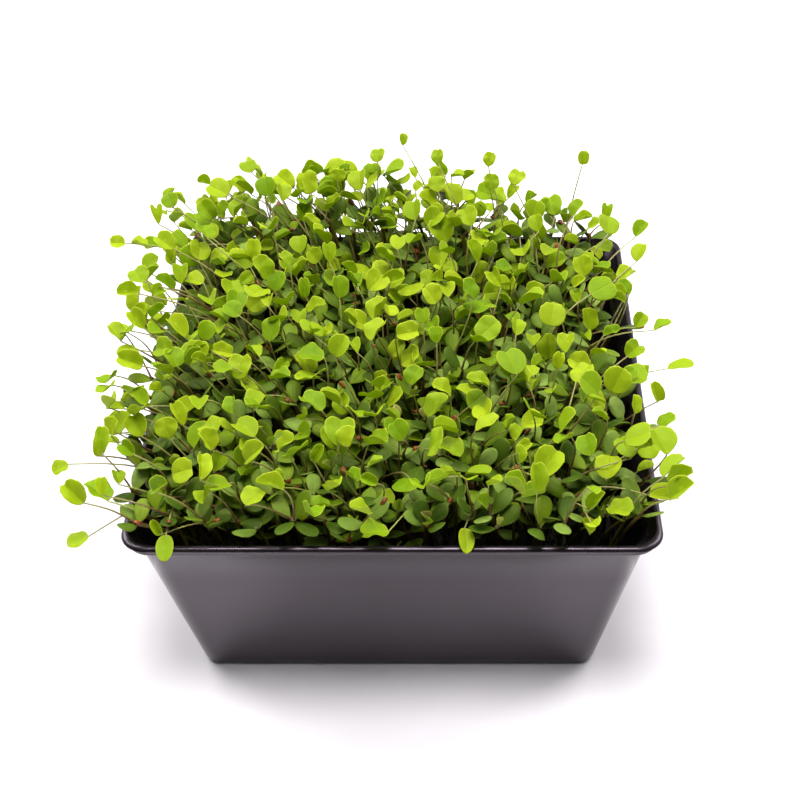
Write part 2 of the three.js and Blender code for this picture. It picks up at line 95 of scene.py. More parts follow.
# %% Signal and Finish
class Signal:
    """One output socket, with Python's operators as Math nodes."""

    def __init__(self, finish, node, name=None):
        self.finish = finish
        self.node = node
        usable = [s for s in node.outputs if s.enabled and (name is None or s.name == name)]
        self.socket = usable[0]

    def out(self, name):
        return Signal(self.finish, self.node, name)

    def maths(self, operation, *values):
        return self.finish.node("ShaderNodeMath", {"operation": operation}, dict(enumerate(values)))

    def __add__(self, other):
        return self.maths("ADD", self, other)

    def __sub__(self, other):
        return self.maths("SUBTRACT", self, other)

    def __rsub__(self, other):
        return self.maths("SUBTRACT", other, self)

    def __mul__(self, other):
        return self.maths("MULTIPLY", self, other)

    def __abs__(self):
        return self.maths("ABSOLUTE", self)

    __radd__ = __add__
    __rmul__ = __mul__

    def sine(self):
        return self.maths("SINE", self)

    def angle_over(self, other):
        """The angle whose tangent is this signal over the other."""
        return self.maths("ARCTAN2", self, other)

    def ramp(self, low, high):
        """0 below low, 1 above high, and smooth between. low may be the larger one."""
        span = {"From Min": low, "From Max": high}
        settings = {"interpolation_type": "SMOOTHSTEP"}
        return self.finish.node("ShaderNodeMapRange", settings, {"Value": self, **span})


class Finish:
    """A material under construction, or the sky."""

    def __init__(self, owner):
        self.owner = owner
        self.owner.use_nodes = True
        self.tree = self.owner.node_tree
        self.tree.nodes.clear()

    def node(self, kind, settings=None, values=None):
        made = self.tree.nodes.new(kind)
        for name, value in (settings or {}).items():
            setattr(made, name, value)
        for name, value in (values or {}).items():
            if isinstance(name, int):
                socket = made.inputs[name]
            else:
                socket = next(s for s in made.inputs if s.enabled and s.name == name)
            if isinstance(value, Signal):
                self.tree.links.new(value.socket, socket)
            else:
                socket.default_value = value
        return Signal(self, made) if made.outputs else made

    def mix(self, factor, a, b):
        """Colour a where factor is 0, and b where it is 1."""
        colours = {"Factor": factor, "A": rgba(a), "B": rgba(b)}
        return self.node("ShaderNodeMix", {"data_type": "RGBA"}, colours)

    def noise(self, scale, detail=2.0):
        """Smooth mottling. scale is in features per metre."""
        place = self.node("ShaderNodeTexCoord").out("Object")
        return self.node("ShaderNodeTexNoise", None, {"Vector": place, "Scale": scale, "Detail": detail})

    def bump(self, height, distance, strength=1.0):
        values = {"Height": height, "Distance": distance, "Strength": strength}
        return self.node("ShaderNodeBump", None, values)

    def surface(self, values, translucent=None, share=0.0):
        """Ends the recipe in a Principled surface, with light let through where translucent is given."""
        shader = self.node("ShaderNodeBsdfPrincipled", None, values)
        if translucent:
            through = self.node("ShaderNodeBsdfTranslucent", None, {"Color": rgba(translucent)})
            shader = self.node("ShaderNodeMixShader", None, {0: share, 1: shader, 2: through})
        self.node("ShaderNodeOutputMaterial", None, {"Surface": shader})
        return self.owner


def rgba(colour):
    return colour if isinstance(colour, Signal) else (*colour, 1.0)


def new_finish(name):
    return Finish(bpy.data.materials.new(name))


print("Signal knows", sum(name.startswith("__") for name in vars(Signal)), "special methods")

# %% [markdown]
# ## The tub's plastic
# The tub is thin black plastic, drawn over a mould. It is satin, not shiny: the pale floor shows in
# the wall as a soft grey, and the roughness wanders a little where the sheet was stretched. Dust and
# handling dull it in faint cloudy patches, and the rim, which is touched most, is duller than the
# wall. One base colour would nearly do for black, so the detail is in the roughness and in a very
# shallow bump.

# %% Tray finish
WALL_ENDS = 54.6 * MM
RIM_STARTS = 55.8 * MM


def tray_plastic():
    finish = new_finish("tray_plastic")
    clouds = finish.noise(60, 3).ramp(0.35, 0.7)
    grain = finish.noise(2600, 2)
    black, dusty = (0.0050, 0.0036, 0.0047), (0.0080, 0.0060, 0.0076)
    colour = finish.mix(clouds * 0.5, black, dusty)
    place = finish.node("ShaderNodeTexCoord").out("Object")
    height = finish.node("ShaderNodeSeparateXYZ", None, {"Vector": place}).out("Z")
    rim = height.ramp(WALL_ENDS, RIM_STARTS)
    relief = grain * 0.35 + clouds * 0.65
    return finish.surface({
        "Base Color": colour,
        "Roughness": 0.11 + clouds * 0.06 + grain * 0.03 + rim * 0.13,
        "Normal": finish.bump(relief, 0.00004, 0.5),
        "Specular IOR Level": 0.6,
        "Specular Tint": (0.98, 0.80, 0.97, 1.0),
    })


PLASTIC = tray_plastic()
print("made", PLASTIC.name, "with", len(PLASTIC.node_tree.nodes), "nodes")

# %% [markdown]
# ## The tub itself
# A square tub with rounded corners could be a box with bevels, but its wall tapers and its rim flares
# out, so every level has its own size. It is easier as a turned shape: a profile from the middle of
# the floor, up the wall and over the rim, and back down inside. The profile is swept round, and each
# column of points is then moved out to a square with rounded corners.

# %% Square turning
RIM_HALF = (tray_high.x - tray_low.x) / 2 / MM
HEIGHT = tray_high.z / MM
BASE_HALF = 52.7
NECK_HALF = 62.1
NECK_Z = 54.9
WALL = 1.5
CORNER = 4.0
FLOOR_TOP = 1.8
PER_CORNER = 13


def outer_half(z):
    return BASE_HALF + (NECK_HALF - BASE_HALF) * z / NECK_Z


def inner_half(z):
    return outer_half(z) - WALL


def squared(profile):
    """Rings of points from a profile of (half width, height), each a square with round corners."""
    rings = []
    for half, z in profile:
        radius = max(half - (outer_half(z) - CORNER), half * 0.1)
        middle = half - radius
        ring = []
        for corner, (side_x, side_y) in enumerate([(1, 1), (-1, 1), (-1, -1), (1, -1)]):
            for step in range(PER_CORNER):
                turn = (corner + step / (PER_CORNER - 1)) * math.pi / 2
                ring.append((
                    middle * side_x + radius * math.cos(turn),
                    middle * side_y + radius * math.sin(turn),
                    z,
                ))
        rings.append(ring)
    return np.array(rings)


def link(name, mesh, materials):
    """A mesh object in the scene, with its materials in order."""
    for material in materials:
        mesh.materials.append(material)
    made = bpy.data.objects.new(name, mesh)
    bpy.context.scene.collection.objects.link(made)
    return made


def ring_mesh(name, rings):
    """A closed mesh from rings, the first and the last of which are capped by fans."""
    count, columns = rings.shape[:2]
    middle = [rings[0].mean(0), rings[-1].mean(0)]
    places = np.concatenate([rings.reshape(-1, 3), middle]) * MM
    faces = []
    for i in range(count - 1):
        low, high = i * columns, (i + 1) * columns
        for k in range(columns):
            after = (k + 1) % columns
            faces.append((low + k, low + after, high + after, high + k))
    first, last = count * columns, count * columns + 1
    for k in range(columns):
        after = (k + 1) % columns
        faces.append((first, after, k))
        faces.append((last, (count - 1) * columns + k, (count - 1) * columns + after))
    mesh = bpy.data.meshes.new(name)
    mesh.from_pydata(places.tolist(), [], faces)
    return mesh


print("rim half width:", round(RIM_HALF, 2), "height:", round(HEIGHT, 2))

# %% [markdown]
# The rim is a narrow lip with a flat top and rounded edges, and a thin skirt under it that throws the
# dark line seen along the front. Short arcs give the foot, the skirt, the lip and the floor's edge
# their roundness. The four drain holes are cut with a Boolean, as a punch would.

# %% Tray
FOOT_HALF = 51.35
FOOT_ROUND = 1.6
SKIRT_HALF = 64.1
SKIRT_ROUND = 0.45
SKIRT_Z = 55.4
LIP_WIDE = 1.7
LIP_ROUND = 1.1
LIP_EDGE = 0.35
FLOOR_HALF = 48.8
FLOOR_ROUND = 2.8


def arc(centre, radius, start, end, steps):
    """Points of (half width, height) along part of a circle, angles in degrees."""
    turns = [math.radians(start + (end - start) * k / steps) for k in range(steps + 1)]
    return [(centre[0] + radius * math.cos(t), centre[1] + radius * math.sin(t)) for t in turns]


def tray_profile():
    """From the middle of the underside, up and over the rim, and back to the middle of the floor."""
    foot = arc((FOOT_HALF, FOOT_ROUND), FOOT_ROUND, -90, -10, 5)
    wall = [(outer_half(z), z) for z in (2.6, 14, 28, 42, NECK_Z - 0.7)]
    neck = [(NECK_HALF + 0.3, NECK_Z - 0.15)]
    skirt = arc((SKIRT_HALF - SKIRT_ROUND, SKIRT_Z), SKIRT_ROUND, -90, 0, 5)
    skirt += [(SKIRT_HALF, HEIGHT - 1.5)]
    lip = arc((RIM_HALF - LIP_ROUND, HEIGHT - LIP_ROUND), LIP_ROUND, 18, 90, 8)
    lip += arc((RIM_HALF - LIP_WIDE + LIP_EDGE, HEIGHT - LIP_EDGE), LIP_EDGE, 90, 170, 4)
    under_lip = [(62.4, 56.3), (61.3, 55.0), (60.7, 54.0)]
    inside = [(inner_half(z), z) for z in (52, 30, 6)]
    floor = arc((FLOOR_HALF, FLOOR_TOP + FLOOR_ROUND), FLOOR_ROUND, -8, -90, 5)
    underside = [(20, 0), (44, 0)]
    middle = [(40, FLOOR_TOP), (20, FLOOR_TOP)]
    return underside + foot + wall + neck + skirt + lip + under_lip + inside + floor + middle


def punch(target, places, radius, depth):
    """Cuts upright round holes with a Boolean modifier, which is then applied."""
    cutter_mesh = bpy.data.meshes.new("cutter")
    shape = bmesh.new()
    pin = {"cap_ends": True, "segments": 24, "radius1": radius, "radius2": radius, "depth": depth}
    for x, y in places:
        made = bmesh.ops.create_cone(shape, **pin)
        bmesh.ops.translate(shape, verts=made["verts"], vec=(x, y, 0))
    shape.to_mesh(cutter_mesh)
    shape.free()
    cutter = link("cutter", cutter_mesh, [])
    modifier = target.modifiers.new("punch", "BOOLEAN")
    modifier.operation = "DIFFERENCE"
    modifier.solver = "EXACT"
    modifier.object = cutter
    applied = bpy.data.meshes.new_from_object(target.evaluated_get(bpy.context.evaluated_depsgraph_get()))
    target.modifiers.clear()
    target.data = applied
    bpy.data.objects.remove(cutter)


DRAIN_AT = 34 * MM
DRAIN_RADIUS = 2 * MM
PUNCH_DEPTH = 10 * MM
tray = link("tray_tub", ring_mesh("tray_tub", squared(tray_profile())), [PLASTIC])
drains = [(x * DRAIN_AT, y * DRAIN_AT) for x in (-1, 1) for y in (-1, 1)]
punch(tray, drains, DRAIN_RADIUS, PUNCH_DEPTH)
tray.data.shade_smooth()
tray.data.set_sharp_from_angle(angle=math.radians(50))
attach(tray, "root")
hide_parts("tray")
print("tray faces:", len(tray.data.polygons))

# %% [markdown]
# ## The growing medium
# Between the seedlings lies damp peat: crumbly, with paler fibres. It is painted almost black, darker
# than damp peat is, as painted shade for the deep gaps under the leaves. From the photograph's side the
# leaves hide it, but it shows from above and between the stems. Its surface is a sheet of points
# lifted by two sizes of noise, closed underneath, with loose crumbs strewn on it.
# A texture alone would look flat in the gaps where the light rakes across.

# %% Growing medium
SOIL_TOP = 32.0
PLUG_TOP = 33.6
PLUG_RADIUS = 5.4
PLUGS_ACROSS = 5
PLUG_PITCH = 20.5
PLUG_LINE = [(k - (PLUGS_ACROSS - 1) / 2) * PLUG_PITCH for k in range(PLUGS_ACROSS)]
PLUGS = [{"x": x, "y": y, "row": row} for row, y in enumerate(PLUG_LINE) for x in PLUG_LINE]
CRUMBS = 700
CRUMB_REACH = 57
CRUMB_SIZES = (0.35, 1.1)
SOIL_GAP = 0.35
SOIL_RINGS = 44


def peat():
    finish = new_finish("peat")
    crumbs = finish.noise(900, 4)
    fibres = finish.noise(3200, 3).ramp(0.6, 0.75)
    # Painted shade: the peat's colours are near black, darker than damp peat, so the gaps under the
    # leaves look deep.
    wet_and_painted_shade, crumbly, fibre = (0.0030, 0.0024, 0.0012), (0.012, 0.009, 0.005), (0.05, 0.034, 0.016)
    colour = finish.mix(crumbs.ramp(0.35, 0.7), wet_and_painted_shade, crumbly)
    colour = finish.mix(fibres * 0.5, colour, fibre)
    return finish.surface({
        "Base Color": colour,
        "Roughness": 0.78 + crumbs * 0.2,
        "Normal": finish.bump(crumbs + fibres * 0.3, 0.0006, 0.9),
    })


def soil_height(x, y):
    """The peat's surface: soft lumps and small crumbs, mounded where the roots are matted."""
    lumps = 0.9 * noise.noise(Vector((x * 0.07, y * 0.07, 3.1)))
    crumbs = 0.7 * noise.noise(Vector((x * 0.45, y * 0.45, 7.7)))
    away = [((x - p["x"]) ** 2 + (y - p["y"]) ** 2) / PLUG_RADIUS**2 for p in PLUGS]
    mound = math.exp(-min(away) ** 2)
    return SOIL_TOP + lumps + crumbs + (PLUG_TOP - SOIL_TOP) * mound


def soil_rings():
    """The peat's underside and sides, close inside the tub, and then its top from the edge inwards."""
    low = FLOOR_TOP + SOIL_GAP
    sides = [(30, low), (48.2, low), (50.4, 3.6)]
    sides += [(inner_half(z) - SOIL_GAP, z) for z in (6, SOIL_TOP - 2)]
    spread = inner_half(SOIL_TOP) - SOIL_GAP
    top = [(spread * share, SOIL_TOP) for share in np.linspace(1, 0.02, SOIL_RINGS)]
    rings = squared(sides + top)
    for ring in rings[len(sides):]:
        for point in ring:
            point[2] = soil_height(point[0], point[1])
    return rings


def strewn_crumbs(count, draw):
    """Small angular crumbs, sunk a little into the surface."""
    shape = bmesh.new()
    for _ in range(count):
        x, y = draw.uniform(-CRUMB_REACH, CRUMB_REACH, 2)
        size = draw.uniform(*CRUMB_SIZES)
        made = bmesh.ops.create_icosphere(shape, subdivisions=1, radius=size * MM)["verts"]
        for vert in made:
            vert.co *= draw.uniform(0.65, 1.15)
            vert.co += Vector((x, y, soil_height(x, y) + size * 0.2)) * MM
    return shape


draw_soil = np.random.default_rng(11)
soil_mesh = ring_mesh("growing_medium", soil_rings())
crumbs = strewn_crumbs(CRUMBS, draw_soil)
crumbs.from_mesh(soil_mesh)
crumbs.to_mesh(soil_mesh)
crumbs.free()
soil = link("peat_bed", soil_mesh, [peat()])
soil.data.shade_smooth()
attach(soil, "root")
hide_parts("growing_medium")
print("peat faces:", len(soil.data.polygons))

# %% [markdown]
# ## Where the seedlings stand
# The measured model already holds the seedlings that give the tray its outline, and the fine ones
# must stand in the same places. Copying their meshes would bring their coarse leaves along, so the
# rule that planted them is repeated here: a repeatable stream of numbers draws each seedling, and the
# first try that is clear of the tub and of its neighbours is kept.

# %% Numbers and sight lines
STATES = 2**32


def stream(seed):
    """A repeatable stream of numbers from 0 to 1."""
    state = (seed * 7919 + 12345) % STATES

    def draw():
        nonlocal state
        state = (state * 1664525 + 1013904223) % STATES
        return state / STATES

    for _ in range(3):
        draw()
    return draw


def around(draw, middle, span):
    return middle + span * (draw() - 0.5)


def between(draw, low, high):
    return low + (high - low) * draw()


def sighted(px, py, z):
    """Where the sight line through a pixel is at a height, in millimetres."""
    pitch = math.radians(VIEW_PITCH)
    right = px - VIEW_MIDDLE[0]
    down = py - VIEW_MIDDLE[1]
    ray = np.array([
        right,
        VIEW_FOCAL * math.cos(pitch) - down * math.sin(pitch),
        -VIEW_FOCAL * math.sin(pitch) - down * math.cos(pitch),
    ])
    return VIEW_EYE + ray * ((z - VIEW_EYE[2]) / ray[2])


print("the picture's middle, at the rim's height:", sighted(PICTURE / 2, PICTURE / 2, HEIGHT).round(1))

# %% [markdown]
# A blade is described by where it starts and how it is turned: its heading round the tray, its lift
# above the level, its roll about its own midrib, and how far its halves are folded up.

# %% Blades and shoots
SEED_LEAF_LONG = 7.0
SEED_LEAF_WIDE = 4.6
FAN_SHARE = 0.88
DROOP = 0.06
CROWN_SHARE = 2 / 3


def blade_axes(blade):
    """Forward along the midrib, across it, and up out of the face."""
    heading, lift, roll = (math.radians(blade[key]) for key in ("heading", "lift", "roll"))
    forward = np.array([
        math.cos(heading) * math.cos(lift),
        math.sin(heading) * math.cos(lift),
        math.sin(lift),
    ])
    level = np.array([-math.sin(heading), math.cos(heading), 0.0])
    face = np.cross(forward, level)
    across = level * math.cos(roll) + face * math.sin(roll)
    up = face * math.cos(roll) - level * math.sin(roll)
    return forward, across, up


def disc_of(blade):
    """The round area that a blade takes up, for keeping blades apart."""
    forward, _, up = blade_axes(blade)
    rise = blade["wide"] * math.tan(math.radians(blade["fold"])) / 4
    middle = blade["base"] + forward * blade["long"] / 2 + up * rise
    return middle, up, max(blade["long"], blade["wide"]) / 2


def shoot_point(root, crown, tip, t, bow=0.5):
    """The stem bows out of the root, more so with a larger bow, and bends again at the crown."""
    if t > CROWN_SHARE:
        return crown + (tip - crown) * ((t - CROWN_SHARE) / (1 - CROWN_SHARE))
    s = t / CROWN_SHARE
    upright = np.array([root[0] - crown[0], root[1] - crown[1], 0.0]) * (bow * s * (1 - s))
    return root + (crown - root) * s + upright


def seed_leaves_at(root, crown, heading, draw, most_lift=46):
    node = crown + (root - crown) * 0.03
    pair = []
    for turn in (0, 180):
        size = between(draw, 0.88, 1.12)
        way = around(draw, heading + turn, 24)
        out = np.array([math.cos(math.radians(way)), math.sin(math.radians(way)), 0.0])
        pair.append({
            "base": node + out * 0.1,
            "heading": way,
            "lift": between(draw, 4, most_lift),
            "roll": around(draw, 0, 50),
            "fold": 0,
            "droop": DROOP,
            "long": SEED_LEAF_LONG * size,
            "wide": SEED_LEAF_WIDE * size,
        })
    return pair


print("a seed leaf is", SEED_LEAF_LONG, "by", SEED_LEAF_WIDE, "mm")

# %% [markdown]
# The leading leaves are the ones that stand out in the photograph. Each was read off: the blade's
# middle as pixels across and down, a height above the table, then its width, heading and lift. The
# sight line through those pixels gives its place.

# %% Leading leaves
LEADERS = [
    [60, 468, 60, 5, 190, -5],
    [77, 539, 60, 6, 195, -5],
    [110, 441, 64, 5.5, 180, 5],
    [114, 408, 68, 6, 170, 10],
    [134, 406, 71, 7, 150, 25],
    [153, 386, 75, 6.5, 120, 40],
    [128, 354, 72, 6.5, 195, 10],
    [121, 328, 74, 5, 170, 20],
    [127, 293, 76, 7, 180, 15],
    [139, 275, 78, 6.5, 150, 25],
    [143, 310, 73, 5.5, 200, 5],
    [117, 243, 78, 5, 170, 20],
    [139, 244, 79, 5.5, 160, 20],
    [164, 242, 80, 7.5, 165, 20],
    [180, 238, 79, 6.5, 120, 40],
    [154, 218, 84, 5, 150, 30],
    [170, 200, 86, 5.2, 135, 40],
    [218, 189, 88, 7.5, 170, 30],
    [197, 209, 84, 6, 140, 40],
    [205, 231, 80, 7, 130, 20],
    [248, 166, 90, 5.2, 120, 40],
    [266, 186, 88, 6.5, 100, 50],
    [282, 192, 87, 6.5, 100, 40],
    [307, 182, 88, 8, 110, 50],
    [338, 175, 89, 4.5, 90, 60],
    [360, 180, 88, 7.5, 90, 40],
    [378, 155, 92, 5, 110, 30],
    [403, 139, 93, 4.2, 100, 60],
    [438, 156, 91, 5.2, 90, 50],
    [490, 159, 91, 5, 90, 50],
    [491, 181, 87, 5.4, 80, 40],
    [517, 177, 87, 5.8, 80, 50],
    [436, 184, 86, 5.6, 100, 40],
    [467, 196, 84, 6.6, 60, 30],
    [441, 230, 82, 9, 95, 35],
    [583, 157, 89, 4.8, 80, 60],
    [537, 223, 79, 6, 90, 40],
    [577, 208, 81, 6.5, 60, 40],
    [608, 224, 76, 7.5, 70, 20],
    [641, 229, 76, 6.4, 45, 30],
    [640, 252, 74, 6.4, 50, 30],
    [602, 288, 75, 8.5, 15, 20],
    [663, 326, 70, 6.2, 30, 20],
    [640, 320, 68, 5.6, 60, 20],
    [634, 350, 70, 6.4, 20, 20],
    [681, 367, 68, 8.2, 0, 10],
    [634, 376, 72, 8, 330, 20],
    [583, 373, 77, 7.5, 60, 30],
    [552, 314, 78, 7.4, 100, 30],
    [511, 361, 81, 9, 95, 30],
    [666, 419, 66, 5.8, 40, 30],
    [626, 447, 71, 8, 100, 20],
    [649, 446, 67, 7.4, 0, 20],
    [664, 496, 64, 8, 0, 10],
    [621, 510, 66, 7.6, 330, 15],
    [548, 463, 75, 10, 65, 25],
    [515, 510, 65, 4.4, 80, 30],
    [340, 431, 77, 9, 110, 30],
    [223, 427, 73, 6, 170, 25],
    [244, 429, 75, 7.6, 160, 20],
    [257, 401, 77, 7.4, 250, 10],
    [241, 366, 79, 8, 100, 30],
    [193, 352, 76, 7, 110, 35],
    [173, 357, 76, 6.4, 120, 40],
    [272, 329, 81, 7.4, 60, 35],
    [278, 281, 82, 6.5, 80, 50],
    [374, 532, 64, 8, 190, 5],
    [406, 484, 71, 7.2, 250, 10],
    [415, 375, 81, 6.2, 60, 40],
    [469, 289, 83, 7, 120, 40],
    [431, 294, 82, 6.6, 160, 40],
    [165, 548, 61, 4.6, 250, -8, 6.8],
    [303, 514, 62, 4.4, 270, 10, 6.6],
    [466, 540, 61, 4.4, 285, -8, 6.6],
    [600, 549, 61, 4.4, 240, -8, 6.4],
]
print(len(LEADERS), "leading leaves")

# %% [markdown]
# Each seedling is a goal: a root, and for a leader its leaf's sight line. A try draws the rest of it:
# where its crown is, how its seed leaves are turned, and how high its first leaf stands.

# %% Tries
CANOPY_Z = 62.0
CANOPY_RISE = 0.05
LEAN = 0.06
BARE_SHARE = 0.35
SOWN_HALF = 47.0
CROWN_HALF = 52.0
ROOT_DEPTH = 1.6
ROOT_MARGIN = 1.8


def within(value, limit):
    return max(-limit, min(limit, value))


def canopy_at(y):
    return CANOPY_Z + CANOPY_RISE * y


def root_in(plug, x, y):
    """The nearest place to x and y that is well inside the plug."""
    off_x, off_y = x - plug["x"], y - plug["y"]
    share = min(1, (PLUG_RADIUS - ROOT_MARGIN) / max(math.hypot(off_x, off_y), 0.001))
    return np.array([plug["x"] + off_x * share, plug["y"] + off_y * share, PLUG_TOP - ROOT_DEPTH])


def leader_try(goal, draw):
    """The leaf stays on its sight line, and the crown is drawn on the way there."""
    root = goal["root"]
    px, py, z, wide, heading, lift, *oval = goal["leader"]
    leaf = {
        "oval": bool(oval),
        "heading": around(draw, heading, 50),
        "lift": around(draw, lift, 24),
        "roll": around(draw, 0, 60),
        "fold": between(draw, 6, 20),
        "droop": DROOP,
        "long": oval[0] if oval else wide * FAN_SHARE,
        "wide": wide,
    }
    leaf["base"] = sighted(px, py, around(draw, z, 5)) - blade_axes(leaf)[0] * leaf["long"] / 2
    share = between(draw, 0.15, 0.55)
    crown = np.array([
        within(around(draw, root[0] + (leaf["base"][0] - root[0]) * share, 13), CROWN_HALF),
        within(around(draw, root[1] + (leaf["base"][1] - root[1]) * share, 13), CROWN_HALF),
        min(around(draw, canopy_at(root[1]), 7), leaf["base"][2] - 2.5),
    ])
    seed_leaves = seed_leaves_at(root, crown, between(draw, 0, 360), draw)
    return {"root": root, "crown": crown, "leaf": leaf, "seed_leaves": seed_leaves}


def plain_try(goal, draw):
    """It leans out of its plug and out of the tray, and a third show only their seed leaves."""
    root, plug = goal["root"], goal["plug"]
    crown = np.array([
        around(draw, root[0] + (root[0] - plug["x"]) + root[0] * LEAN, 5),
        around(draw, root[1] + (root[1] - plug["y"]) + root[1] * LEAN, 5),
        around(draw, canopy_at(root[1]) - 3, 9),
    ])
    seed_leaves = seed_leaves_at(root, crown, between(draw, 0, 360), draw)
    if draw() < BARE_SHARE:
        return {"root": root, "crown": crown, "leaf": None, "seed_leaves": seed_leaves}
    wide = between(draw, 5.4, 8.8)
    base = np.array([
        around(draw, crown[0] + root[0] * LEAN, 8),
        around(draw, crown[1] + root[1] * LEAN, 8),
        crown[2] + between(draw, 5, 16),
    ])
    leaf = {
        "oval": False,
        "base": base,
        "heading": between(draw, 0, 360),
        "lift": between(draw, 5, 55),
        "roll": around(draw, 0, 60),
        "fold": between(draw, 6, 20),
        "droop": DROOP,
        "long": wide * FAN_SHARE,
        "wide": wide,
    }
    return {"root": root, "crown": crown, "leaf": leaf, "seed_leaves": seed_leaves}


print("the canopy's height at the front and the back:", canopy_at(-SOWN_HALF), canopy_at(SOWN_HALF))

# %% [markdown]
# Two leaves must not grow through each other. Testing meshes would be slow, so each blade is taken as
# a thin disc and each stem as a chain of points. Two discs meet if the line that their planes share
# crosses both at one place. All the standing discs are tested at once, as arrays.

# %% Clear of each other
TRAY_CLEARANCE = 1.2
CORNER_CLEARANCE = 2
OVER_RIM = 0.9
BESIDE_RIM = 1
BLADE_CLEARANCE = 0.7
STEM_CLEARANCE = 1.7
STEM_REACH = 0.9
FACE_REACH = 1.1
LEVEL_REACH = 1.2
NEARLY_LEVEL = 0.35
FAR_APART = 60


def lengths(vectors):
    return np.sqrt((vectors * vectors).sum(-1))


def clear_of_tray(points):
    """Above the rim, inside the wall or outside the tub, for each point."""
    out = np.maximum(np.abs(points[:, 0]), np.abs(points[:, 1]))
    room = inner_half(np.minimum(points[:, 2], NECK_Z)) - TRAY_CLEARANCE
    diagonal = np.abs(points[:, 0]) + np.abs(points[:, 1])
    inside = (out < room) & (diagonal < 2 * room - CORNER_CLEARANCE)
    above = points[:, 2] > HEIGHT + OVER_RIM
    return bool((above | (out > RIM_HALF + BESIDE_RIM) | inside).all())


def disc_rim(at, up, radius):
    """Eight points round the edge of a disc."""
    side = np.array([0.0, 0.0, 1.0]) if abs(up[2]) < 0.9 else np.array([1.0, 0.0, 0.0])
    a = np.cross(up, side)
    a /= np.linalg.norm(a)
    b = np.cross(up, a)
    turns = np.arange(8) * math.pi / 4
    return at + radius * (np.outer(np.cos(turns), a) + np.outer(np.sin(turns), b))


def discs_meet(disc, at, up, radius):
    """One disc against many."""
    gap = at - disc[0]
    shared = np.cross(np.broadcast_to(disc[1], up.shape), up)
    sine = lengths(shared)
    from_one = np.abs(gap @ disc[1])
    from_many = np.abs((gap * up).sum(-1))
    level = (from_one < LEVEL_REACH + sine * radius) & (from_many < LEVEL_REACH + sine * disc[2])
    safe = np.maximum(sine, 1e-9)
    chord_one = np.sqrt(np.maximum(0, (disc[2] + BLADE_CLEARANCE) ** 2 - (from_many / safe) ** 2))
    chord_many = np.sqrt(np.maximum(0, (radius + BLADE_CLEARANCE) ** 2 - (from_one / safe) ** 2))
    along = np.abs((gap * shared).sum(-1)) / safe
    crossed = (chord_one > 0) & (chord_many > 0) & (along < chord_one + chord_many)
    near = lengths(gap) <= disc[2] + radius + BLADE_CLEARANCE
    return near & np.where(sine < NEARLY_LEVEL, level, crossed)


def chains_meet_discs(chains, at, up, radius):
    """Chains of points against discs: a table of chain by disc."""
    away = chains[:, None] - at[None, :, None]
    above = (away * up[None, :, None]).sum(-1)
    beside = np.sqrt(np.maximum(0, (away * away).sum(-1) - above * above))
    within_reach = beside < radius[None, :, None] + STEM_REACH
    touching = within_reach & (np.abs(above) < FACE_REACH)
    through = within_reach[..., 1:] & (above[..., :-1] * above[..., 1:] < 0)
    return touching.any(-1) | through.any(-1)


middle_disc = disc_rim(np.array([0, 0, 60.0]), np.array([0, 0, 1.0]), 4)
print("a disc over the middle is clear of the tub:", clear_of_tray(middle_disc))

# %% [markdown]
# The stand keeps what is planted in arrays with room to spare. `ease` shrinks the discs for the
# seedlings between the leading ones, which the real tray packs so tightly that leaves touch.

# %% The stand
CHAIN_POINTS = 18
MOST = 1000
NOWHERE = 1e6
PER_PLUG = 4
CROWD_STEP = 5
TRIES = 80
FILL_SEED = 9000


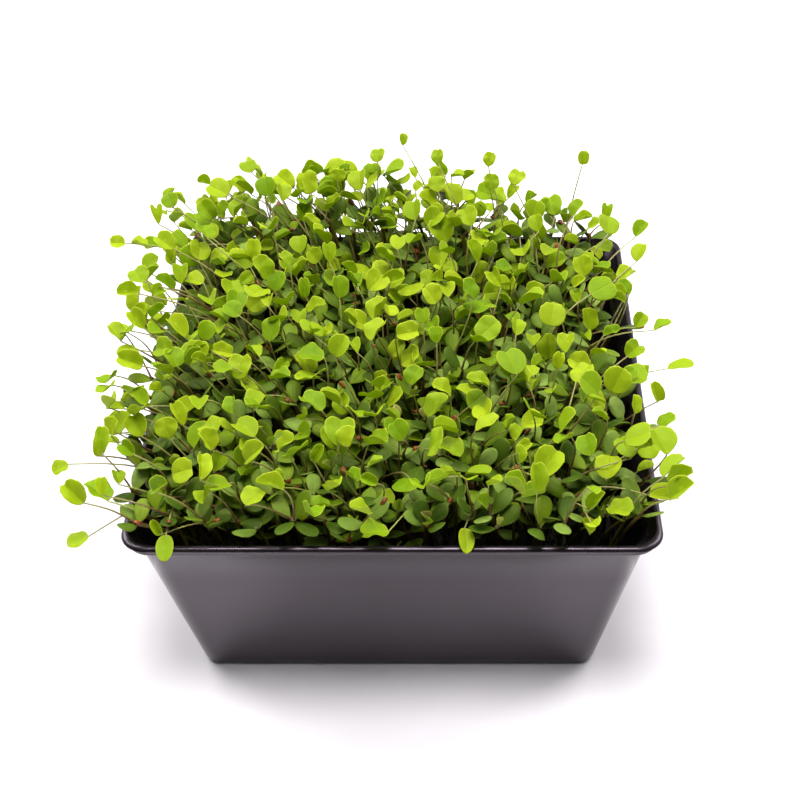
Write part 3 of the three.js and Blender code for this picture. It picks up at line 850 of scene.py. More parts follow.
class Stand:
    """The seedlings that stand already, as arrays for the tests."""

    def __init__(self):
        self.seedlings = []
        self.crowns = np.zeros((MOST, 3))
        self.plugs = np.zeros(MOST, int)
        self.chains = np.full((MOST, CHAIN_POINTS, 3), NOWHERE)
        self.at = np.full((MOST, 3, 3), NOWHERE)
        self.up = np.tile(np.array([0.0, 0.0, 1.0]), (MOST, 3, 1))
        self.radius = np.zeros((MOST, 3))

    def shape(self, seedling):
        """The chain of points of its stem and stalk, and the discs of its blades."""
        leaf = seedling["leaf"]
        root, crown, bow = seedling["root"], seedling["crown"], seedling.get("bow", 0.5)
        tip = leaf["base"] if leaf else crown
        count = CHAIN_POINTS if leaf else int(CHAIN_POINTS * CROWN_SHARE)
        chain = [shoot_point(root, crown, tip, k / CHAIN_POINTS, bow) for k in range(1, count + 1)]
        discs = [disc_of(blade) for blade in seedling["seed_leaves"] + ([leaf] if leaf else [])]
        return np.array(chain), discs

    def fits(self, seedling, plug, chain, discs, ease):
        """Whether it is clear of the tub and of what stands already."""
        if not clear_of_tray(chain) or not all(clear_of_tray(disc_rim(*disc)) for disc in discs):
            return False
        discs = [(at, up, radius * ease) for at, up, radius in discs]
        own_at, own_up, own_radius = (np.array([disc[k] for disc in discs]) for k in range(3))
        if len(discs) == 3 and discs_meet(discs[2], own_at[:2], own_up[:2], own_radius[:2]).any():
            return False
        away = lengths(self.crowns[: len(self.seedlings)] - seedling["crown"])
        near = np.flatnonzero(away <= FAR_APART)
        if not len(near):
            return True
        at, up = self.at[near].reshape(-1, 3), self.up[near].reshape(-1, 3)
        radius = self.radius[near].reshape(-1) * ease
        real = radius > 0
        if any(discs_meet(disc, at[real], up[real], radius[real]).any() for disc in discs):
            return False
        if chains_meet_discs(chain[None], at[real], up[real], radius[real]).any():
            return False
        if chains_meet_discs(self.chains[near], own_at, own_up, own_radius).any():
            return False
        apart = self.chains[near[self.plugs[near] != plug]].reshape(-1, 3)
        gaps = lengths(apart[:, None] - chain[None])
        return not (gaps < STEM_CLEARANCE * ease).any()

    def add(self, seedling, plug, chain, discs):
        i = len(self.seedlings)
        self.seedlings.append(seedling)
        self.crowns[i] = seedling["crown"]
        self.plugs[i] = plug
        self.chains[i, : len(chain)] = chain
        for k, (at, up, radius) in enumerate(discs):
            self.at[i, k], self.up[i, k], self.radius[i, k] = at, up, radius

    def plant(self, goal, seed, make, tries, ease=1.0):
        """Plants a goal at its first try that fits, if any does."""
        for attempt in range(tries):
            seedling = make(goal, stream(seed + attempt))
            chain, discs = self.shape(seedling)
            if self.fits(seedling, goal["index"], chain, discs, ease):
                seedling["index"] = goal["index"]
                self.add(seedling, goal["index"], chain, discs)
                return


def goals_for_plugs():
    """Each leader's goal, in a near and uncrowded plug, and then plain ones up to four a plug."""
    goals = []

    def add(plug, root, **more):
        index = PLUGS.index(plug)
        goals.append({"plug": plug, "index": index, "root": root, **more})

    for leader in LEADERS:
        seen = sighted(*leader[:3])
        x, y = within(seen[0], SOWN_HALF), within(seen[1], SOWN_HALF)
        crowd = [CROWD_STEP * sum(goal["plug"] is p for goal in goals) for p in PLUGS]
        costs = [math.hypot(p["x"] - x, p["y"] - y) + c for p, c in zip(PLUGS, crowd)]
        plug = PLUGS[costs.index(min(costs))]
        add(plug, root_in(plug, x, y), leader=leader)
    for index, plug in enumerate(PLUGS):
        start = between(stream(FILL_SEED + index), 30, 60)
        for k in range(PER_PLUG - sum(goal["plug"] is plug for goal in goals)):
            turn = math.radians(start + 360 * k / PER_PLUG)
            x = plug["x"] + PLUG_RADIUS * math.cos(turn)
            y = plug["y"] + PLUG_RADIUS * math.sin(turn)
            add(plug, root_in(plug, x, y))
    return goals


stand = Stand()
goals = goals_for_plugs()
for number, goal in enumerate(goals):
    stand.plant(goal, number * 101, leader_try if "leader" in goal else plain_try, TRIES)
print("leading seedlings:", len(stand.seedlings), "of", len(goals), "goals")

# %% [markdown]
# ## The seedlings in between
# In the real tray the seeds were strewn, and several hundred came up. Most of those between the
# leading ones have a first leaf too, and the rest show only their seed leaves. Strewing them wholly at
# random would leave bald spots, so each bed is a jittered grid: one over all the peat, and narrower
# ones at the back, the left and the front, where the real stand is thickest. They lean towards the
# light at the left, and the stand gets lower towards its two far corners.

# %% Sowing the rest
INFILL_HALF = 56.0
INFILL_ROOT_DEPTH = 0.6
INFILL_LEAF_SHARE = 0.9
INFILL_LEAF_RISE = 0.003
INFILL_EASE = 0.36
INFILL_TRIES = 16
TALLEST = 5
SHORTEST = -11
MOSTLY_TALL = 1.6
TOP_ABOVE_CANOPY = 17
CROWN_SPREAD = 9
CROWN_REACH = 61.5
LEAF_SPREAD = 11
LEAF_REACH = 68.0
BACK_REACH = 61.0
LIGHT_LEAN = 3.0
CORNER_DROP = 16.0
SOW_JITTER = 0.9


def share_of(value, low, high):
    """0 at or below low, 1 at or above high."""
    return min(1, max(0, (value - low) / (high - low)))


def drop_at(x, y):
    """How much lower the stand is towards its two far corners than in the middle of its back."""
    return CORNER_DROP * share_of(abs(x + 8), 22, 52) * share_of(y, -20, 40)


def infill_try(goal, draw):
    """It leans outwards and towards the light at the left. Further back, more of them have a leaf."""
    x, y, _ = root = goal["root"]
    lean = between(draw, *goal["lean"])
    height = canopy_at(y) + TALLEST + (SHORTEST - TALLEST) * draw() ** MOSTLY_TALL
    height += goal["rise"] - drop_at(x, y) / 2
    crown_x = within(around(draw, x * lean - LIGHT_LEAN, CROWN_SPREAD), CROWN_REACH + LIGHT_LEAN)
    crown_y = within(around(draw, y * lean, CROWN_SPREAD), CROWN_REACH)
    crown = np.array([crown_x, crown_y, height])
    seedling = {"root": root, "crown": crown, "leaf": None, "bow": 1.0}
    seedling["seed_leaves"] = seed_leaves_at(root, crown, between(draw, 0, 360), draw, most_lift=62)
    if draw() > INFILL_LEAF_SHARE + INFILL_LEAF_RISE * y:
        return seedling
    wide = between(draw, 4.8, 8.6)
    base_x = within(around(draw, crown_x + x * 0.1 - 2, LEAF_SPREAD), LEAF_REACH + LIGHT_LEAN)
    base_y = min(BACK_REACH, within(around(draw, crown_y + y * 0.1, LEAF_SPREAD), LEAF_REACH))
    base_z = min(height + between(draw, 5, 22), canopy_at(y) + TOP_ABOVE_CANOPY - drop_at(x, y))
    seedling["leaf"] = {
        "oval": False,
        "base": np.array([base_x, base_y, base_z]),
        "heading": between(draw, 0, 360),
        "lift": between(draw, 5, 62),
        "roll": around(draw, 0, 70),
        "fold": between(draw, 12, 46),
        "droop": DROOP,
        "long": wide * FAN_SHARE,
        "wide": wide,
    }
    return seedling


def nearest_plug(x, y):
    away = [math.hypot(p["x"] - x, p["y"] - y) for p in PLUGS]
    return away.index(min(away))


def sow(low, high, step, lean, rise, seed):
    """Sows a jittered grid between two corners, given as (x, y). Returns how many came up."""
    before = len(stand.seedlings)
    across, along = (round((high[k] - low[k]) / step) for k in range(2))
    for column in range(across + 1):
        for line in range(along + 1):
            number = seed + 97 * column + line
            draw = stream(number)
            x = within(low[0] + step * around(draw, column, SOW_JITTER), INFILL_HALF)
            y = within(low[1] + step * around(draw, line, SOW_JITTER), INFILL_HALF)
            goal = {"index": nearest_plug(x, y), "lean": lean, "rise": rise}
            goal["root"] = np.array([x, y, SOIL_TOP - INFILL_ROOT_DEPTH])
            stand.plant(goal, number * 7, infill_try, INFILL_TRIES, INFILL_EASE)
    return len(stand.seedlings) - before


# Two corners, the grid's step, the least and the most lean, how much taller, and the seed.
BEDS = {
    "all over": [(-56, -56), (56, 56), 4.2, (0.98, 1.15), 0, 30000],
    "along the back": [(-46, 44), (46, 56), 3.2, (0.98, 1.15), 5, 70000],
    "tall, at the back": [(-44, 38), (26, 55), 3.6, (0.98, 1.12), 11, 75000],
    "along the left": [(-56, -50), (-42, 50), 3.6, (1.08, 1.3), 0, 80000],
    "along the front": [(-50, -56), (50, -50), 3.4, (0.98, 1.12), -6, 90000],
}
for bed, layout in BEDS.items():
    print("sown", bed + ":", sow(*layout))
print("seedlings in all:", len(stand.seedlings))

# %% [markdown]
# ## Fine blades
# A leaf is a thin lens: a top and an underside that meet in a sharp edge. Each is a fan of rings about
# the widest part, which keeps the outline round and puts a row of points on the midrib for the
# crease. The outline's front half is round and its back half narrows to the stalk. How fast it
# narrows, the notch at the tip and the scallops of the edge differ from leaf to leaf.

# %% Blade meshes
BLADE_RINGS = np.array([0.34, 0.68, 0.92, 1.0])
NOTCH_WIDTH = 0.3
SCALLOPS = 11
CREASE_SOFTNESS = 0.0012
CREASE_DEPTH = 0.035


def blade_faces(edge):
    """Faces of one blade. Its points are the top's centre and rings, and then the underside's, which
    shares the outermost ring with the top."""
    rings = len(BLADE_RINGS)
    bottom = 1 + rings * edge

    def point(side, ring, k):
        k %= edge
        if side == 0 or ring == rings - 1:
            return 1 + ring * edge + k
        return bottom + 1 + ring * edge + k

    def quad(side, ring, k):
        corners = [(ring, k), (ring + 1, k), (ring + 1, k + 1), (ring, k + 1)]
        if side == 1:
            corners = [corners[i] for i in (0, 3, 2, 1)]
        return tuple(point(side, *corner) for corner in corners)

    triangles, quads = [], []
    for k in range(edge):
        triangles.append((0, point(0, 0, k), point(0, 0, k + 1)))
        triangles.append((bottom, point(1, 0, k + 1), point(1, 0, k)))
        for ring in range(rings - 1):
            quads += [quad(0, ring, k), quad(1, ring, k)]
    return np.array(triangles), np.array(quads)


def blade_surface(blades, edge):
    """Points of all the blades as an array of blade by point by axis, and their colour attributes."""

    def column(key):
        return np.array([blade[key] for blade in blades], float)[:, None, None]

    turn = np.arange(edge) * 2 * math.pi / edge
    cosine, sine = np.cos(turn), np.sin(turn)
    front = cosine > -1e-6
    middle = column("middle")
    edge_x = middle + np.where(front, 1 - middle, middle) * cosine
    edge_y = 0.5 * np.sign(sine) * np.abs(sine) ** np.where(front, 1.0, column("taper"))
    around_tip = np.minimum(turn, 2 * math.pi - turn)
    edge_x = edge_x - column("notch") * np.exp(-((around_tip / NOTCH_WIDTH) ** 2))
    scallop = np.cos(SCALLOPS * turn + column("phase")) * np.clip(cosine + 0.4, 0, 1)
    scallop = 1 + column("scallop") * scallop
    reach = BLADE_RINGS[None, :, None] * np.where(BLADE_RINGS[None, :, None] > 0.9, scallop, 1)
    x = middle + reach * (edge_x - middle)
    y = reach * edge_y
    ring = np.broadcast_to(BLADE_RINGS[None, :, None], x.shape)
    x, y, ring = (a.reshape(len(blades), -1) for a in (x, y, ring))
    x = np.concatenate([middle[:, :, 0], x], 1)
    y = np.concatenate([np.zeros((len(blades), 1)), y], 1)
    ring = np.concatenate([np.zeros((len(blades), 1)), ring], 1)

    def flat(key):
        return column(key)[:, :, 0]

    long, wide, fold = flat("long"), flat("wide"), np.radians(flat("fold"))
    crease = np.sqrt(y * y + CREASE_SOFTNESS) - CREASE_DEPTH
    cup = flat("cup") * 4 * y * y
    wave = flat("wave") * np.sin(3 * x * math.pi + flat("phase")) * np.abs(y) * 2
    rise = wide * (crease * np.sin(fold) + cup + wave) - long * flat("droop") * x * x
    out = y * wide * np.cos(fold)
    axes = np.array([blade_axes(blade) for blade in blades])
    base = np.array([blade["base"] for blade in blades])
    centre = (
        base[:, None]
        + (x * long)[..., None] * axes[:, None, 0]
        + out[..., None] * axes[:, None, 1]
        + rise[..., None] * axes[:, None, 2]
    )
    half = flat("thick") / 2 * np.sqrt(1 - ring**2 * 0.999)
    half = half[..., None] * axes[:, None, 2]
    inner = ring.shape[1] - edge
    places = np.concatenate([centre + half, (centre - half)[:, :inner]], 1)
    values = np.stack([x, y + 0.5, ring, np.broadcast_to(flat("tint"), x.shape)], -1)
    colours = np.concatenate([values, values[:, :inner]], 1)
    under = np.concatenate([np.zeros(ring.shape), np.ones((len(blades), inner))], 1)
    growth = np.stack([under, np.broadcast_to(flat("age"), under.shape), under * 0, under * 0 + 1], -1)
    return places, colours, growth


def paint(mesh, name, values):
    attribute = mesh.attributes.new(name, "FLOAT_COLOR", "POINT")
    attribute.data.foreach_set("color", np.ascontiguousarray(values, np.float32).ravel())


def blades_piece(name, blades, edge, material):
    """One piece with all these blades. edge is how many points each has around it."""
    places, colours, growth = blade_surface(blades, edge)
    start = (np.arange(len(blades)) * places.shape[1])[:, None, None]
    triangles, quads = blade_faces(edge)
    faces = (triangles + start).reshape(-1, 3).tolist() + (quads + start).reshape(-1, 4).tolist()
    mesh = bpy.data.meshes.new(name)
    mesh.from_pydata((places.reshape(-1, 3) * MM).tolist(), [], faces)
    paint(mesh, "blade", colours.reshape(-1, 4))
    paint(mesh, "growth", growth.reshape(-1, 4))
    mesh.shade_smooth()
    return link(name, mesh, [material])


FAN_EDGE = 32
SPOON_EDGE = 20
for edge in (FAN_EDGE, SPOON_EDGE):
    triangles, quads = blade_faces(edge)
    print("triangles in a blade with", edge, "points around:", len(triangles) + 2 * len(quads))

# %% [markdown]
# The three kinds of blade differ in a few numbers. A first leaf is a fan, creased along its midrib. A
# seed leaf is a smooth, thicker spoon. A bud is a first leaf that is still folded shut, and stands up
# between the seed leaves of the younger seedlings.

# %% Kinds of blade
draw_form = np.random.default_rng(7)
FULL_TURN = 6.28
MOST_FOLD = 62
BLADE_THICK = 0.3
SPOON_THICK = 0.55
GROWN_WIDTH = 9


def first_leaf_blade(leaf):
    oval = leaf["oval"]
    return leaf | {
        "middle": 0.5 if oval else draw_form.uniform(0.5, 0.62),
        "taper": 1.0 if oval else draw_form.uniform(0.66, 1.3),
        "notch": 0.0 if oval else draw_form.uniform(0.0, 0.15),
        "scallop": 0.0 if oval else draw_form.uniform(0.01, 0.045),
        "phase": draw_form.uniform(0, FULL_TURN),
        "fold": min(MOST_FOLD, leaf["fold"] + draw_form.uniform(0, 36)),
        "cup": draw_form.uniform(-0.16, 0.05),
        "wave": draw_form.uniform(0, 0.07),
        "droop": draw_form.uniform(0.02, 0.14),
        "thick": BLADE_THICK,
        "tint": draw_form.uniform(),
        "age": min(1.0, leaf["wide"] / GROWN_WIDTH),
    }


def seed_leaf_blade(leaf):
    return leaf | {
        "long": leaf["long"] * 1.08,
        "wide": leaf["wide"] * 0.95,
        "middle": draw_form.uniform(0.6, 0.68),
        "taper": draw_form.uniform(1.8, 2.9),
        "notch": 0.0,
        "scallop": 0.0,
        "phase": draw_form.uniform(0, FULL_TURN),
        "fold": draw_form.uniform(2, 12),
        "cup": draw_form.uniform(-0.14, -0.03),
        "wave": draw_form.uniform(0, 0.02),
        "droop": draw_form.uniform(0.03, 0.16),
        "thick": SPOON_THICK,
        "tint": draw_form.uniform(),
        "age": draw_form.uniform(),
    }


def bud_blade(seedling):
    wide = draw_form.uniform(3.0, 4.8)
    return {
        "base": seedling["crown"] + np.array([0, 0, 0.2]),
        "heading": draw_form.uniform(0, 360),
        "lift": draw_form.uniform(55, 80),
        "roll": draw_form.uniform(-40, 40),
        "long": draw_form.uniform(2.8, 4.4),
        "wide": wide,
        "middle": 0.6,
        "taper": 1.3,
        "notch": 0.0,
        "scallop": 0.02,
        "phase": draw_form.uniform(0, FULL_TURN),
        "fold": draw_form.uniform(30, 74),
        "cup": 0.0,
        "wave": 0.02,
        "droop": 0.1,
        "thick": BLADE_THICK,
        "tint": draw_form.uniform(),
        "age": draw_form.uniform(0, 0.12),
    }


sample = bud_blade({"crown": np.zeros(3)})
print("a bud in mm:", round(sample["long"], 1), "by", round(sample["wide"], 1))
print("its halves are folded up by", round(sample["fold"]), "degrees")

# %% [markdown]
# ## Stems
# A clover stem is a thin juicy tube that leans out of the crowd towards the light. The leaf stalk
# above its crown is thinner still and arches. A curve object with a bevel would do, but hundreds of
# them are heavy, so all the tubes of a clump are swept at once: rings of six points, turned along the
# way so that they don't twist.

# %% Stem meshes
STEM_SIDES = 6
STEM_STEPS = 9
STALK_STEPS = 8
OFF_AXIS = np.array([0.31, 0.95, 0.02])
STEM_RADII = {0: 0.5, 0.8: 0.4, 1: 0.52}
STALK_RADII = {0: 0.34, 0.1: 0.24, 0.9: 0.17, 1: 0.12}
SWAY = 0.22


def swept(paths, radii):
    """Rings of points along paths of equal length, as path by step by side by axis."""
    ahead = np.gradient(paths, axis=1)
    ahead /= np.linalg.norm(ahead, axis=-1, keepdims=True)
    side = np.cross(ahead[:, 0], OFF_AXIS)
    rings = []
    turns = (np.arange(STEM_SIDES) * 2 * math.pi / STEM_SIDES)[None, :, None]
    for step in range(paths.shape[1]):
        way = ahead[:, step]
        side = side - (side * way).sum(-1, keepdims=True) * way
        side = side / np.linalg.norm(side, axis=-1, keepdims=True)
        other = np.cross(way, side)
        circle = np.cos(turns) * side[:, None] + np.sin(turns) * other[:, None]
        rings.append(paths[:, step, None] + circle * radii[:, step, None, None])
    return np.stack(rings, 1)


def radii_along(radii, points):
    """A tube's radius at each of its points, from its radius at a few shares of its length."""
    return np.interp(np.linspace(0, 1, points), list(radii), list(radii.values()))


def tube_faces(steps):
    """Faces of one tube: its walls, ring by ring, and a cap at each end."""
    sides = STEM_SIDES
    walls = []
    for low in range(0, (steps - 1) * sides, sides):
        high = low + sides
        for k in range(sides):
            after = (k + 1) % sides
            walls.append((low + k, low + after, high + after, high + k))
    return walls + [tuple(reversed(range(sides))), tuple(range((steps - 1) * sides, steps * sides))]


def stem_path(seedling):
    root, crown, bow = seedling["root"], seedling["crown"], seedling.get("bow", 0.5)
    shares = np.linspace(0, CROWN_SHARE, STEM_STEPS)
    return np.array([shoot_point(root, crown, crown, share, bow) for share in shares])


def stalk_path(seedling):
    """From the crown to the first leaf, arching up first."""
    start, end = seedling["crown"], seedling["leaf"]["base"]
    shares = np.linspace(0, 1, STALK_STEPS)[:, None]
    length = np.linalg.norm(end - start)
    forward = blade_axes(seedling["leaf"])[0]
    sway = np.cross(forward, np.array([0, 0, draw_form.uniform(-SWAY, SWAY)]))
    pull = (np.array([0, 0, 0.3]) - forward * 0.14 + sway) * length
    path = start + (end - start) * shares + pull * (2 * shares * (1 - shares) ** 1.2)
    return np.concatenate([path, end[None] + forward * 0.5])


def stems_piece(name, seedlings, material):
    """One piece with the stems and the leaf stalks of a clump."""
    leafy = [s for s in seedlings if s["leaf"]]
    stems = np.array([stem_path(s) for s in seedlings])
    thick = draw_form.uniform(0.85, 1.15, (len(seedlings), 1))
    groups = [(swept(stems, thick * radii_along(STEM_RADII, STEM_STEPS)), 0.0)]
    if leafy:
        stalks = np.array([stalk_path(s) for s in leafy])
        radii = radii_along(STALK_RADII, STALK_STEPS + 1)
        groups.append((swept(stalks, np.broadcast_to(radii, stalks.shape[:2])), 1.0))
    places, faces, colours = [], [], []
    for rings, stalk in groups:
        steps = rings.shape[1]
        template = tube_faces(steps)
        for tube in rings:
            start = len(places)
            places.extend(tube.reshape(-1, 3) * MM)
            faces.extend([tuple(start + i for i in face) for face in template])
            share = np.repeat(np.linspace(0, 1, steps), STEM_SIDES)
            tint = np.full(len(share), draw_form.uniform())
            colours.append(np.stack([share, np.full(len(share), stalk), tint, tint * 0 + 1], -1))
    mesh = bpy.data.meshes.new(name)
    mesh.from_pydata([tuple(p) for p in places], [], faces)
    paint(mesh, "along", np.concatenate(colours))
    mesh.shade_smooth()
    mesh.set_sharp_from_angle(angle=math.radians(70))
    return link(name, mesh, [material])


print("each stem has", STEM_STEPS, "rings and each leaf stalk", STALK_STEPS + 1)

# %% [markdown]
# ## The finishes of the plants
# A first leaf is thin, so light shines through it: that is where its glowing lime comes from. Its
# veins fan out of the stalk's end as slightly paler lines. Its edge is painted paler still, a painted
# highlight where the thin edge catches the light. What varies is in the colour, and the light that
# passes is a Translucent shader mixed in by a constant share.

# %% First leaf finish
def painted(finish, name):
    """The four values that a mesh's points carry under a name."""
    attribute = finish.node("ShaderNodeAttribute", {"attribute_name": name})
    parts = finish.node("ShaderNodeSeparateColor", None, {"Color": attribute.out("Color")})
    return parts.out("Red"), parts.out("Green"), parts.out("Blue"), attribute.out("Alpha")


def blade_parts(finish):
    """Along the blade, across it from -0.5 to 0.5, out from the middle, and the blade's own tint."""
    along, across, out, tint = painted(finish, "blade")
    return along, across - 0.5, out, tint


def growth_parts(finish):
    """1 on the underside, and the blade's age."""
    return painted(finish, "growth")[:2]


VEIN_TURNS = 15


def first_leaf():
    finish = new_finish("first_leaf")
    along, across, out, tint = blade_parts(finish)
    under, age = growth_parts(finish)
    angle = across.angle_over(along + 0.08)
    branches = abs((angle * VEIN_TURNS).sine())
    veins = branches.ramp(0.3, 0.0) * along.ramp(0.02, 0.3)
    midrib = abs(across).ramp(0.035, 0.0)
    mottle = finish.noise(420, 3).ramp(0.3, 0.7)
    grass, lime, patch = (0.14, 0.27, 0.0), (0.44, 0.53, 0.012), (0.24, 0.38, 0.0)
    pale_bud, tan_bud = (0.36, 0.50, 0.04), (0.52, 0.42, 0.16)
    vein, edge, back = (0.50, 0.58, 0.02), (0.62, 0.66, 0.05), (0.34, 0.44, 0.03)
    body = finish.mix(tint, grass, lime)
    body = finish.mix(mottle * 0.35, body, patch)
    young = finish.mix(tint.ramp(0.55, 0.85), pale_bud, tan_bud)
    body = finish.mix(age.ramp(0.35, 0.0), body, young)
    body = finish.mix(veins * 0.25 + midrib * 0.4, body, vein)
    # Painted highlight: the pale edge colour is painted round the rim of each blade.
    body = finish.mix(out.ramp(0.88, 1.0) * 0.6, body, edge)
    body = finish.mix(under * 0.35, body, back)
    height = veins * 0.5 + midrib + mottle * 0.4
    return finish.surface(
        {
            "Base Color": body,
            "Roughness": 0.52 + mottle * 0.12,
            "Normal": finish.bump(height, -0.0002, 0.6),
            "Specular IOR Level": 0.3,
            "Specular Tint": (0.9, 1.0, 0.66, 1.0),
        },
        translucent=(0.58, 0.74, 0.0),
        share=0.36,
    )


# %% [markdown]
# A seed leaf is thicker and smoother. It is a deeper green with a waxy sheen, so its highlight is
# broad and soft and it lets little light through. Some are painted lighter all over, partly as tone that
# differs from leaf to leaf and partly as painted sheen, and each has a paler rim that is a painted
# highlight. Towards its base each turns paler and yellower.

# %% Seed leaf finish
def seed_leaf():
    finish = new_finish("seed_leaf")
    along, across, out, tint = blade_parts(finish)
    under, age = growth_parts(finish)
    crease = abs(across).ramp(0.04, 0.0) * along.ramp(0.95, 0.5)
    mottle = finish.noise(650, 3).ramp(0.3, 0.7)
    deep, fresh, older = (0.024, 0.056, 0.003), (0.120, 0.205, 0.012), (0.175, 0.265, 0.002)
    light, patch, base = (0.25, 0.36, 0.07), (0.070, 0.135, 0.008), (0.20, 0.27, 0.01)
    edge, back = (0.25, 0.34, 0.03), (0.15, 0.21, 0.03)
    body = finish.mix(tint, deep, fresh)
    body = finish.mix(age.ramp(0.4, 1.0) * 0.85, body, older)
    # Partly painted sheen: the light colour makes some leaves lighter all over, as lit leaves and as
    # leaf-to-leaf tone.
    body = finish.mix(tint.ramp(0.55, 1.0) * 0.8, body, light)
    body = finish.mix(mottle * 0.3, body, patch)
    body = finish.mix(along.ramp(0.3, 0.0) * 0.6, body, base)
    # The pale edge colour lines the crease, and round the rim it is a painted highlight.
    body = finish.mix(crease * 0.25 + out.ramp(0.9, 1.0) * 0.3, body, edge)
    body = finish.mix(under * 0.4, body, back)
    fine = finish.noise(5200, 2)
    return finish.surface(
        {
            "Base Color": body,
            "Roughness": 0.44 + mottle * 0.14,
            "Normal": finish.bump(fine * 0.3 - crease * 0.8, 0.00016, 0.5),
            "Specular IOR Level": 0.46,
            "Specular Tint": (0.92, 1.0, 0.34, 1.0),
        },
        translucent=(0.20, 0.33, 0.0),
        share=0.2,
    )


# %% [markdown]
# The stems are painted dark and greenish at the foot, as painted shade under the leaves, and tan
# towards the crown. The leaf stalks above them start reddish and turn straw-coloured or lime. Like any
# juicy stem they have a narrow, wet highlight.
# The husks are a dull red-brown.

# %% Stem and husk finishes
def stem():
    finish = new_finish("stem")
    along, stalk, tint, _ = painted(finish, "along")
    streak = finish.noise(800, 2).ramp(0.35, 0.65)
    shaded, tan, green = (0.026, 0.036, 0.004), (0.085, 0.060, 0.008), (0.085, 0.110, 0.008)
    reddish, straw, lime = (0.16, 0.075, 0.025), (0.36, 0.34, 0.10), (0.30, 0.38, 0.05)
    brown = (0.12, 0.06, 0.018)
    # Painted shade: the foot is dark, going from shaded to tan up the stem, as shade under the leaves.
    foot = finish.mix(along.ramp(0.2, 1.0), shaded, tan)
    foot = finish.mix(tint.ramp(0.5, 1.0) * 0.6, foot, green)
    upper = finish.mix(along.ramp(0.0, 0.7), reddish, straw)
    upper = finish.mix(tint.ramp(0.5, 1.0) * 0.7, upper, lime)
    body = finish.mix(stalk, foot, upper)
    body = finish.mix(streak * 0.3, body, brown)
    return finish.surface(
        {"Base Color": body, "Roughness": 0.34 + streak * 0.12, "Specular IOR Level": 0.5},
        translucent=(0.4, 0.36, 0.08),
        share=0.12,
    )


def husk():
    finish = new_finish("husk")
    mottle = finish.noise(1500, 3).ramp(0.3, 0.7)
    dark, worn = (0.12, 0.022, 0.004), (0.34, 0.085, 0.012)
    body = finish.mix(mottle, dark, worn)
    return finish.surface({
        "Base Color": body,
        "Roughness": 0.42 + mottle * 0.2,
        "Normal": finish.bump(mottle, 0.0002, 0.7),
    })


FIRST_LEAF, SEED_LEAF, STEM, HUSK = first_leaf(), seed_leaf(), stem(), husk()
print("finishes:", [m.name for m in (FIRST_LEAF, SEED_LEAF, STEM, HUSK)])

# %% [markdown]
# ## The clumps
# The measured model has one node for each clump, so the fine pieces are made clump by clump, and each
# stands in for its own node.

# %% Clumps
BUD_SHARE = 0.75


def dress(piece, node):
    """Hangs the piece on the root, and hides the measured node that it stands in for, if any."""
    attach(piece, "root")
    if node:
        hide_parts(node)


counts = {"first leaves": 0, "seed leaves": 0, "buds": 0}
for index, plug in enumerate(PLUGS):
    members = [s for s in stand.seedlings if s["index"] == index]
    column = index % PLUGS_ACROSS
    label = f"{plug['row'] + 1}_{column + 1}"
    node = "seedlings_row" + label
    fans = [first_leaf_blade(s["leaf"]) for s in members if s["leaf"]]
    buds = [bud_blade(s) for s in members if not s["leaf"] and draw_form.uniform() < BUD_SHARE]
    spoons = [seed_leaf_blade(leaf) for s in members for leaf in s["seed_leaves"]]
    leaves = blades_piece("first_leaves_" + label, fans + buds, FAN_EDGE, FIRST_LEAF)
    dress(leaves, node)
    dress(blades_piece("seed_leaves_" + label, spoons, SPOON_EDGE, SEED_LEAF), node)
    dress(stems_piece("stems_" + label, members, STEM), node)
    counts["first leaves"] += len(fans)
    counts["seed leaves"] += len(spoons)
    counts["buds"] += len(buds)
print(counts)

# %% [markdown]
# Some seedlings still wear their seed's husk, stuck to the tip of a seed leaf or lying in the crown.
# It is a small red-brown shell, crumpled by drying.

# %% Husks
HUSK_SHARE = 0.16
HUSK_HALF_SIZES = [(0.9, 1.3), (0.55, 0.8), (0.45, 0.65)]
HUSK_DENTS = 0.35
AT_TIP_SHARE = 0.7
AT_TIP = (0.94, 0.1)
IN_CROWN = (0.1, 0.7)
draw_husk = np.random.default_rng(5)


def add_husk(shape, place, way):
    """A ball, drawn out along its way and dented."""
    made = bmesh.ops.create_icosphere(shape, subdivisions=2, radius=1)["verts"]
    size = Vector([draw_husk.uniform(*sizes) for sizes in HUSK_HALF_SIZES])
    turn = Vector(way).to_track_quat("X", "Z")
    shift = Vector((draw_husk.uniform(0, 50), 0, 0))
    for vert in made:
        dent = 1 + HUSK_DENTS * noise.noise(vert.co * 1.6 + shift)
        vert.co = (turn @ (vert.co * size * dent) + Vector(place)) * MM


shape = bmesh.new()
husks = 0
for seedling in stand.seedlings:
    if draw_husk.uniform() > HUSK_SHARE:
        continue
    leaf = seedling["seed_leaves"][int(draw_husk.integers(2))]
    forward, _, up = blade_axes(leaf)
    along, above = AT_TIP if draw_husk.uniform() < AT_TIP_SHARE else IN_CROWN
    add_husk(shape, leaf["base"] + forward * leaf["long"] * along + up * above, forward)
    husks += 1
husk_mesh = bpy.data.meshes.new("seed_husks")
shape.to_mesh(husk_mesh)
shape.free()
husk_piece = link("seed_husks", husk_mesh, [HUSK])
husk_mesh.shade_smooth()
dress(husk_piece, None)
print("husks:", husks)

# %% [markdown]
# ## The studio
# The photograph was taken on a bright, nearly white ground, with the tray's shadow as a soft pool
# round it. A floor is all that the black wall has to reflect in front, so the floor's own shadow and
# paint decide how dark the wall looks, and the floor is a plain rough sheet.

# %% Ground
GROUND_HALF = 1.5
GROUND_Z = -0.2 * MM


def ground_paint():
    paint = {"Base Color": (0.80, 0.768, 0.802, 1.0), "Roughness": 0.9, "Specular IOR Level": 0.1}
    return new_finish("ground").surface(paint)


sides = (-GROUND_HALF, GROUND_HALF)
corners = [(x, y, GROUND_Z) for x in sides for y in sides]
ground_mesh = bpy.data.meshes.new("ground")
ground_mesh.from_pydata(corners, [], [(0, 2, 3, 1)])
ground = link("ground", ground_mesh, [ground_paint()])
print("the ground is", 2 * GROUND_HALF, "m across")

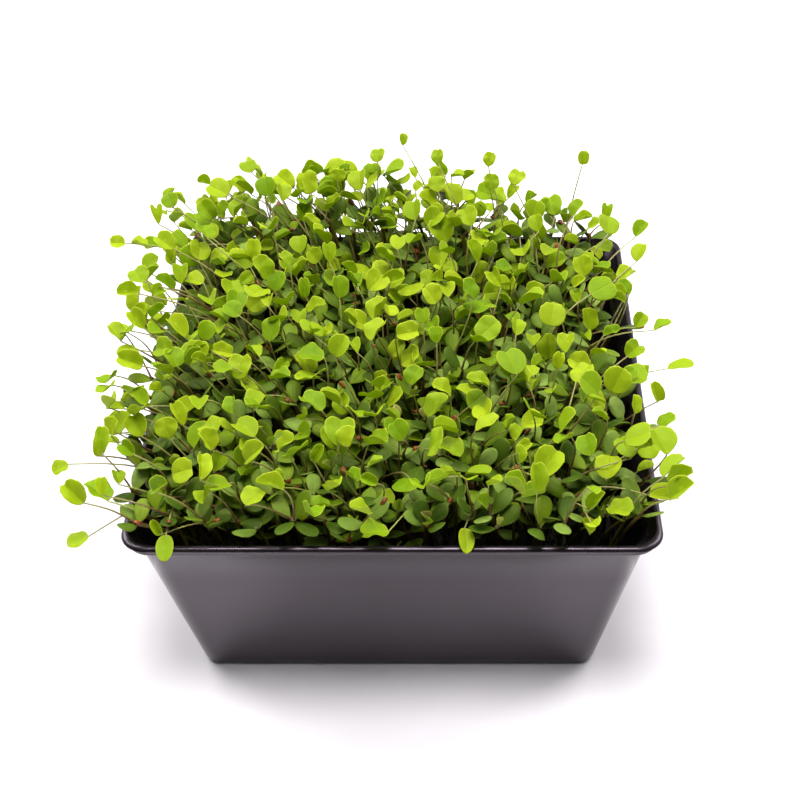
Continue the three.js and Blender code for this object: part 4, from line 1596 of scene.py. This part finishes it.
# %% [markdown]
# The light is soft and comes from above: one lamp over the tray and a little in front, which throws
# the pool of shadow, and two larger ones behind at the left and the right, which shine through the
# leaves and light the rim. A lamp in front would show in the wall as a bright patch. The sky does the
# rest: it stands for a room that is dim behind the camera and brighter behind the tray. Below the
# horizon it is white, so that no dark band shows past the ground when the tray is seen from low down.

# %% Sky and lamps
LAMP_HEIGHT = 1.1
LAMP_TARGET = (0, 0, 0.05)
BACK_SIDE = 0.85
BACK_BEHIND = 0.6
BACK_SIZE = 0.9


def studio_sky():
    """Dim behind the camera and brighter behind the tray, as the room was, and white past the ground."""
    finish = Finish(bpy.data.worlds.new("sky"))
    way = finish.node("ShaderNodeTexCoord").out("Generated")
    parts = finish.node("ShaderNodeSeparateXYZ", None, {"Vector": way})
    room = parts.out("Y").ramp(-0.7, 0.6) * 0.48 + 0.08
    strength = room + parts.out("Z").ramp(0.06, -0.03) * 0.9
    colour = (1.0, 0.99, 1.0, 1.0)
    background = finish.node("ShaderNodeBackground", None, {"Color": colour, "Strength": strength})
    finish.node("ShaderNodeOutputWorld", None, {"Surface": background})
    return finish.owner


def soft_light(name, place, size, power):
    """A round lamp that faces the tray. size is its width in metres and power is in watts."""
    data = bpy.data.lights.new(name, "AREA")
    data.shape = "DISK"
    data.size = size
    data.energy = power
    lamp = bpy.data.objects.new(name, data)
    lamp.location = place
    lamp.rotation_euler = (Vector(place) - Vector(LAMP_TARGET)).to_track_quat("Z", "Y").to_euler()
    bpy.context.scene.collection.objects.link(lamp)


bpy.context.scene.world = studio_sky()
soft_light("key", (0.0, -0.14, LAMP_HEIGHT), 0.45, 14)
soft_light("left back", (-BACK_SIDE, BACK_BEHIND, LAMP_HEIGHT), BACK_SIZE, 18)
soft_light("right back", (BACK_SIDE, BACK_BEHIND, LAMP_HEIGHT), BACK_SIZE, 14.5)
bpy.context.scene.view_settings.view_transform = "Standard"
bpy.context.scene.view_settings.look = "None"

# %% [markdown]
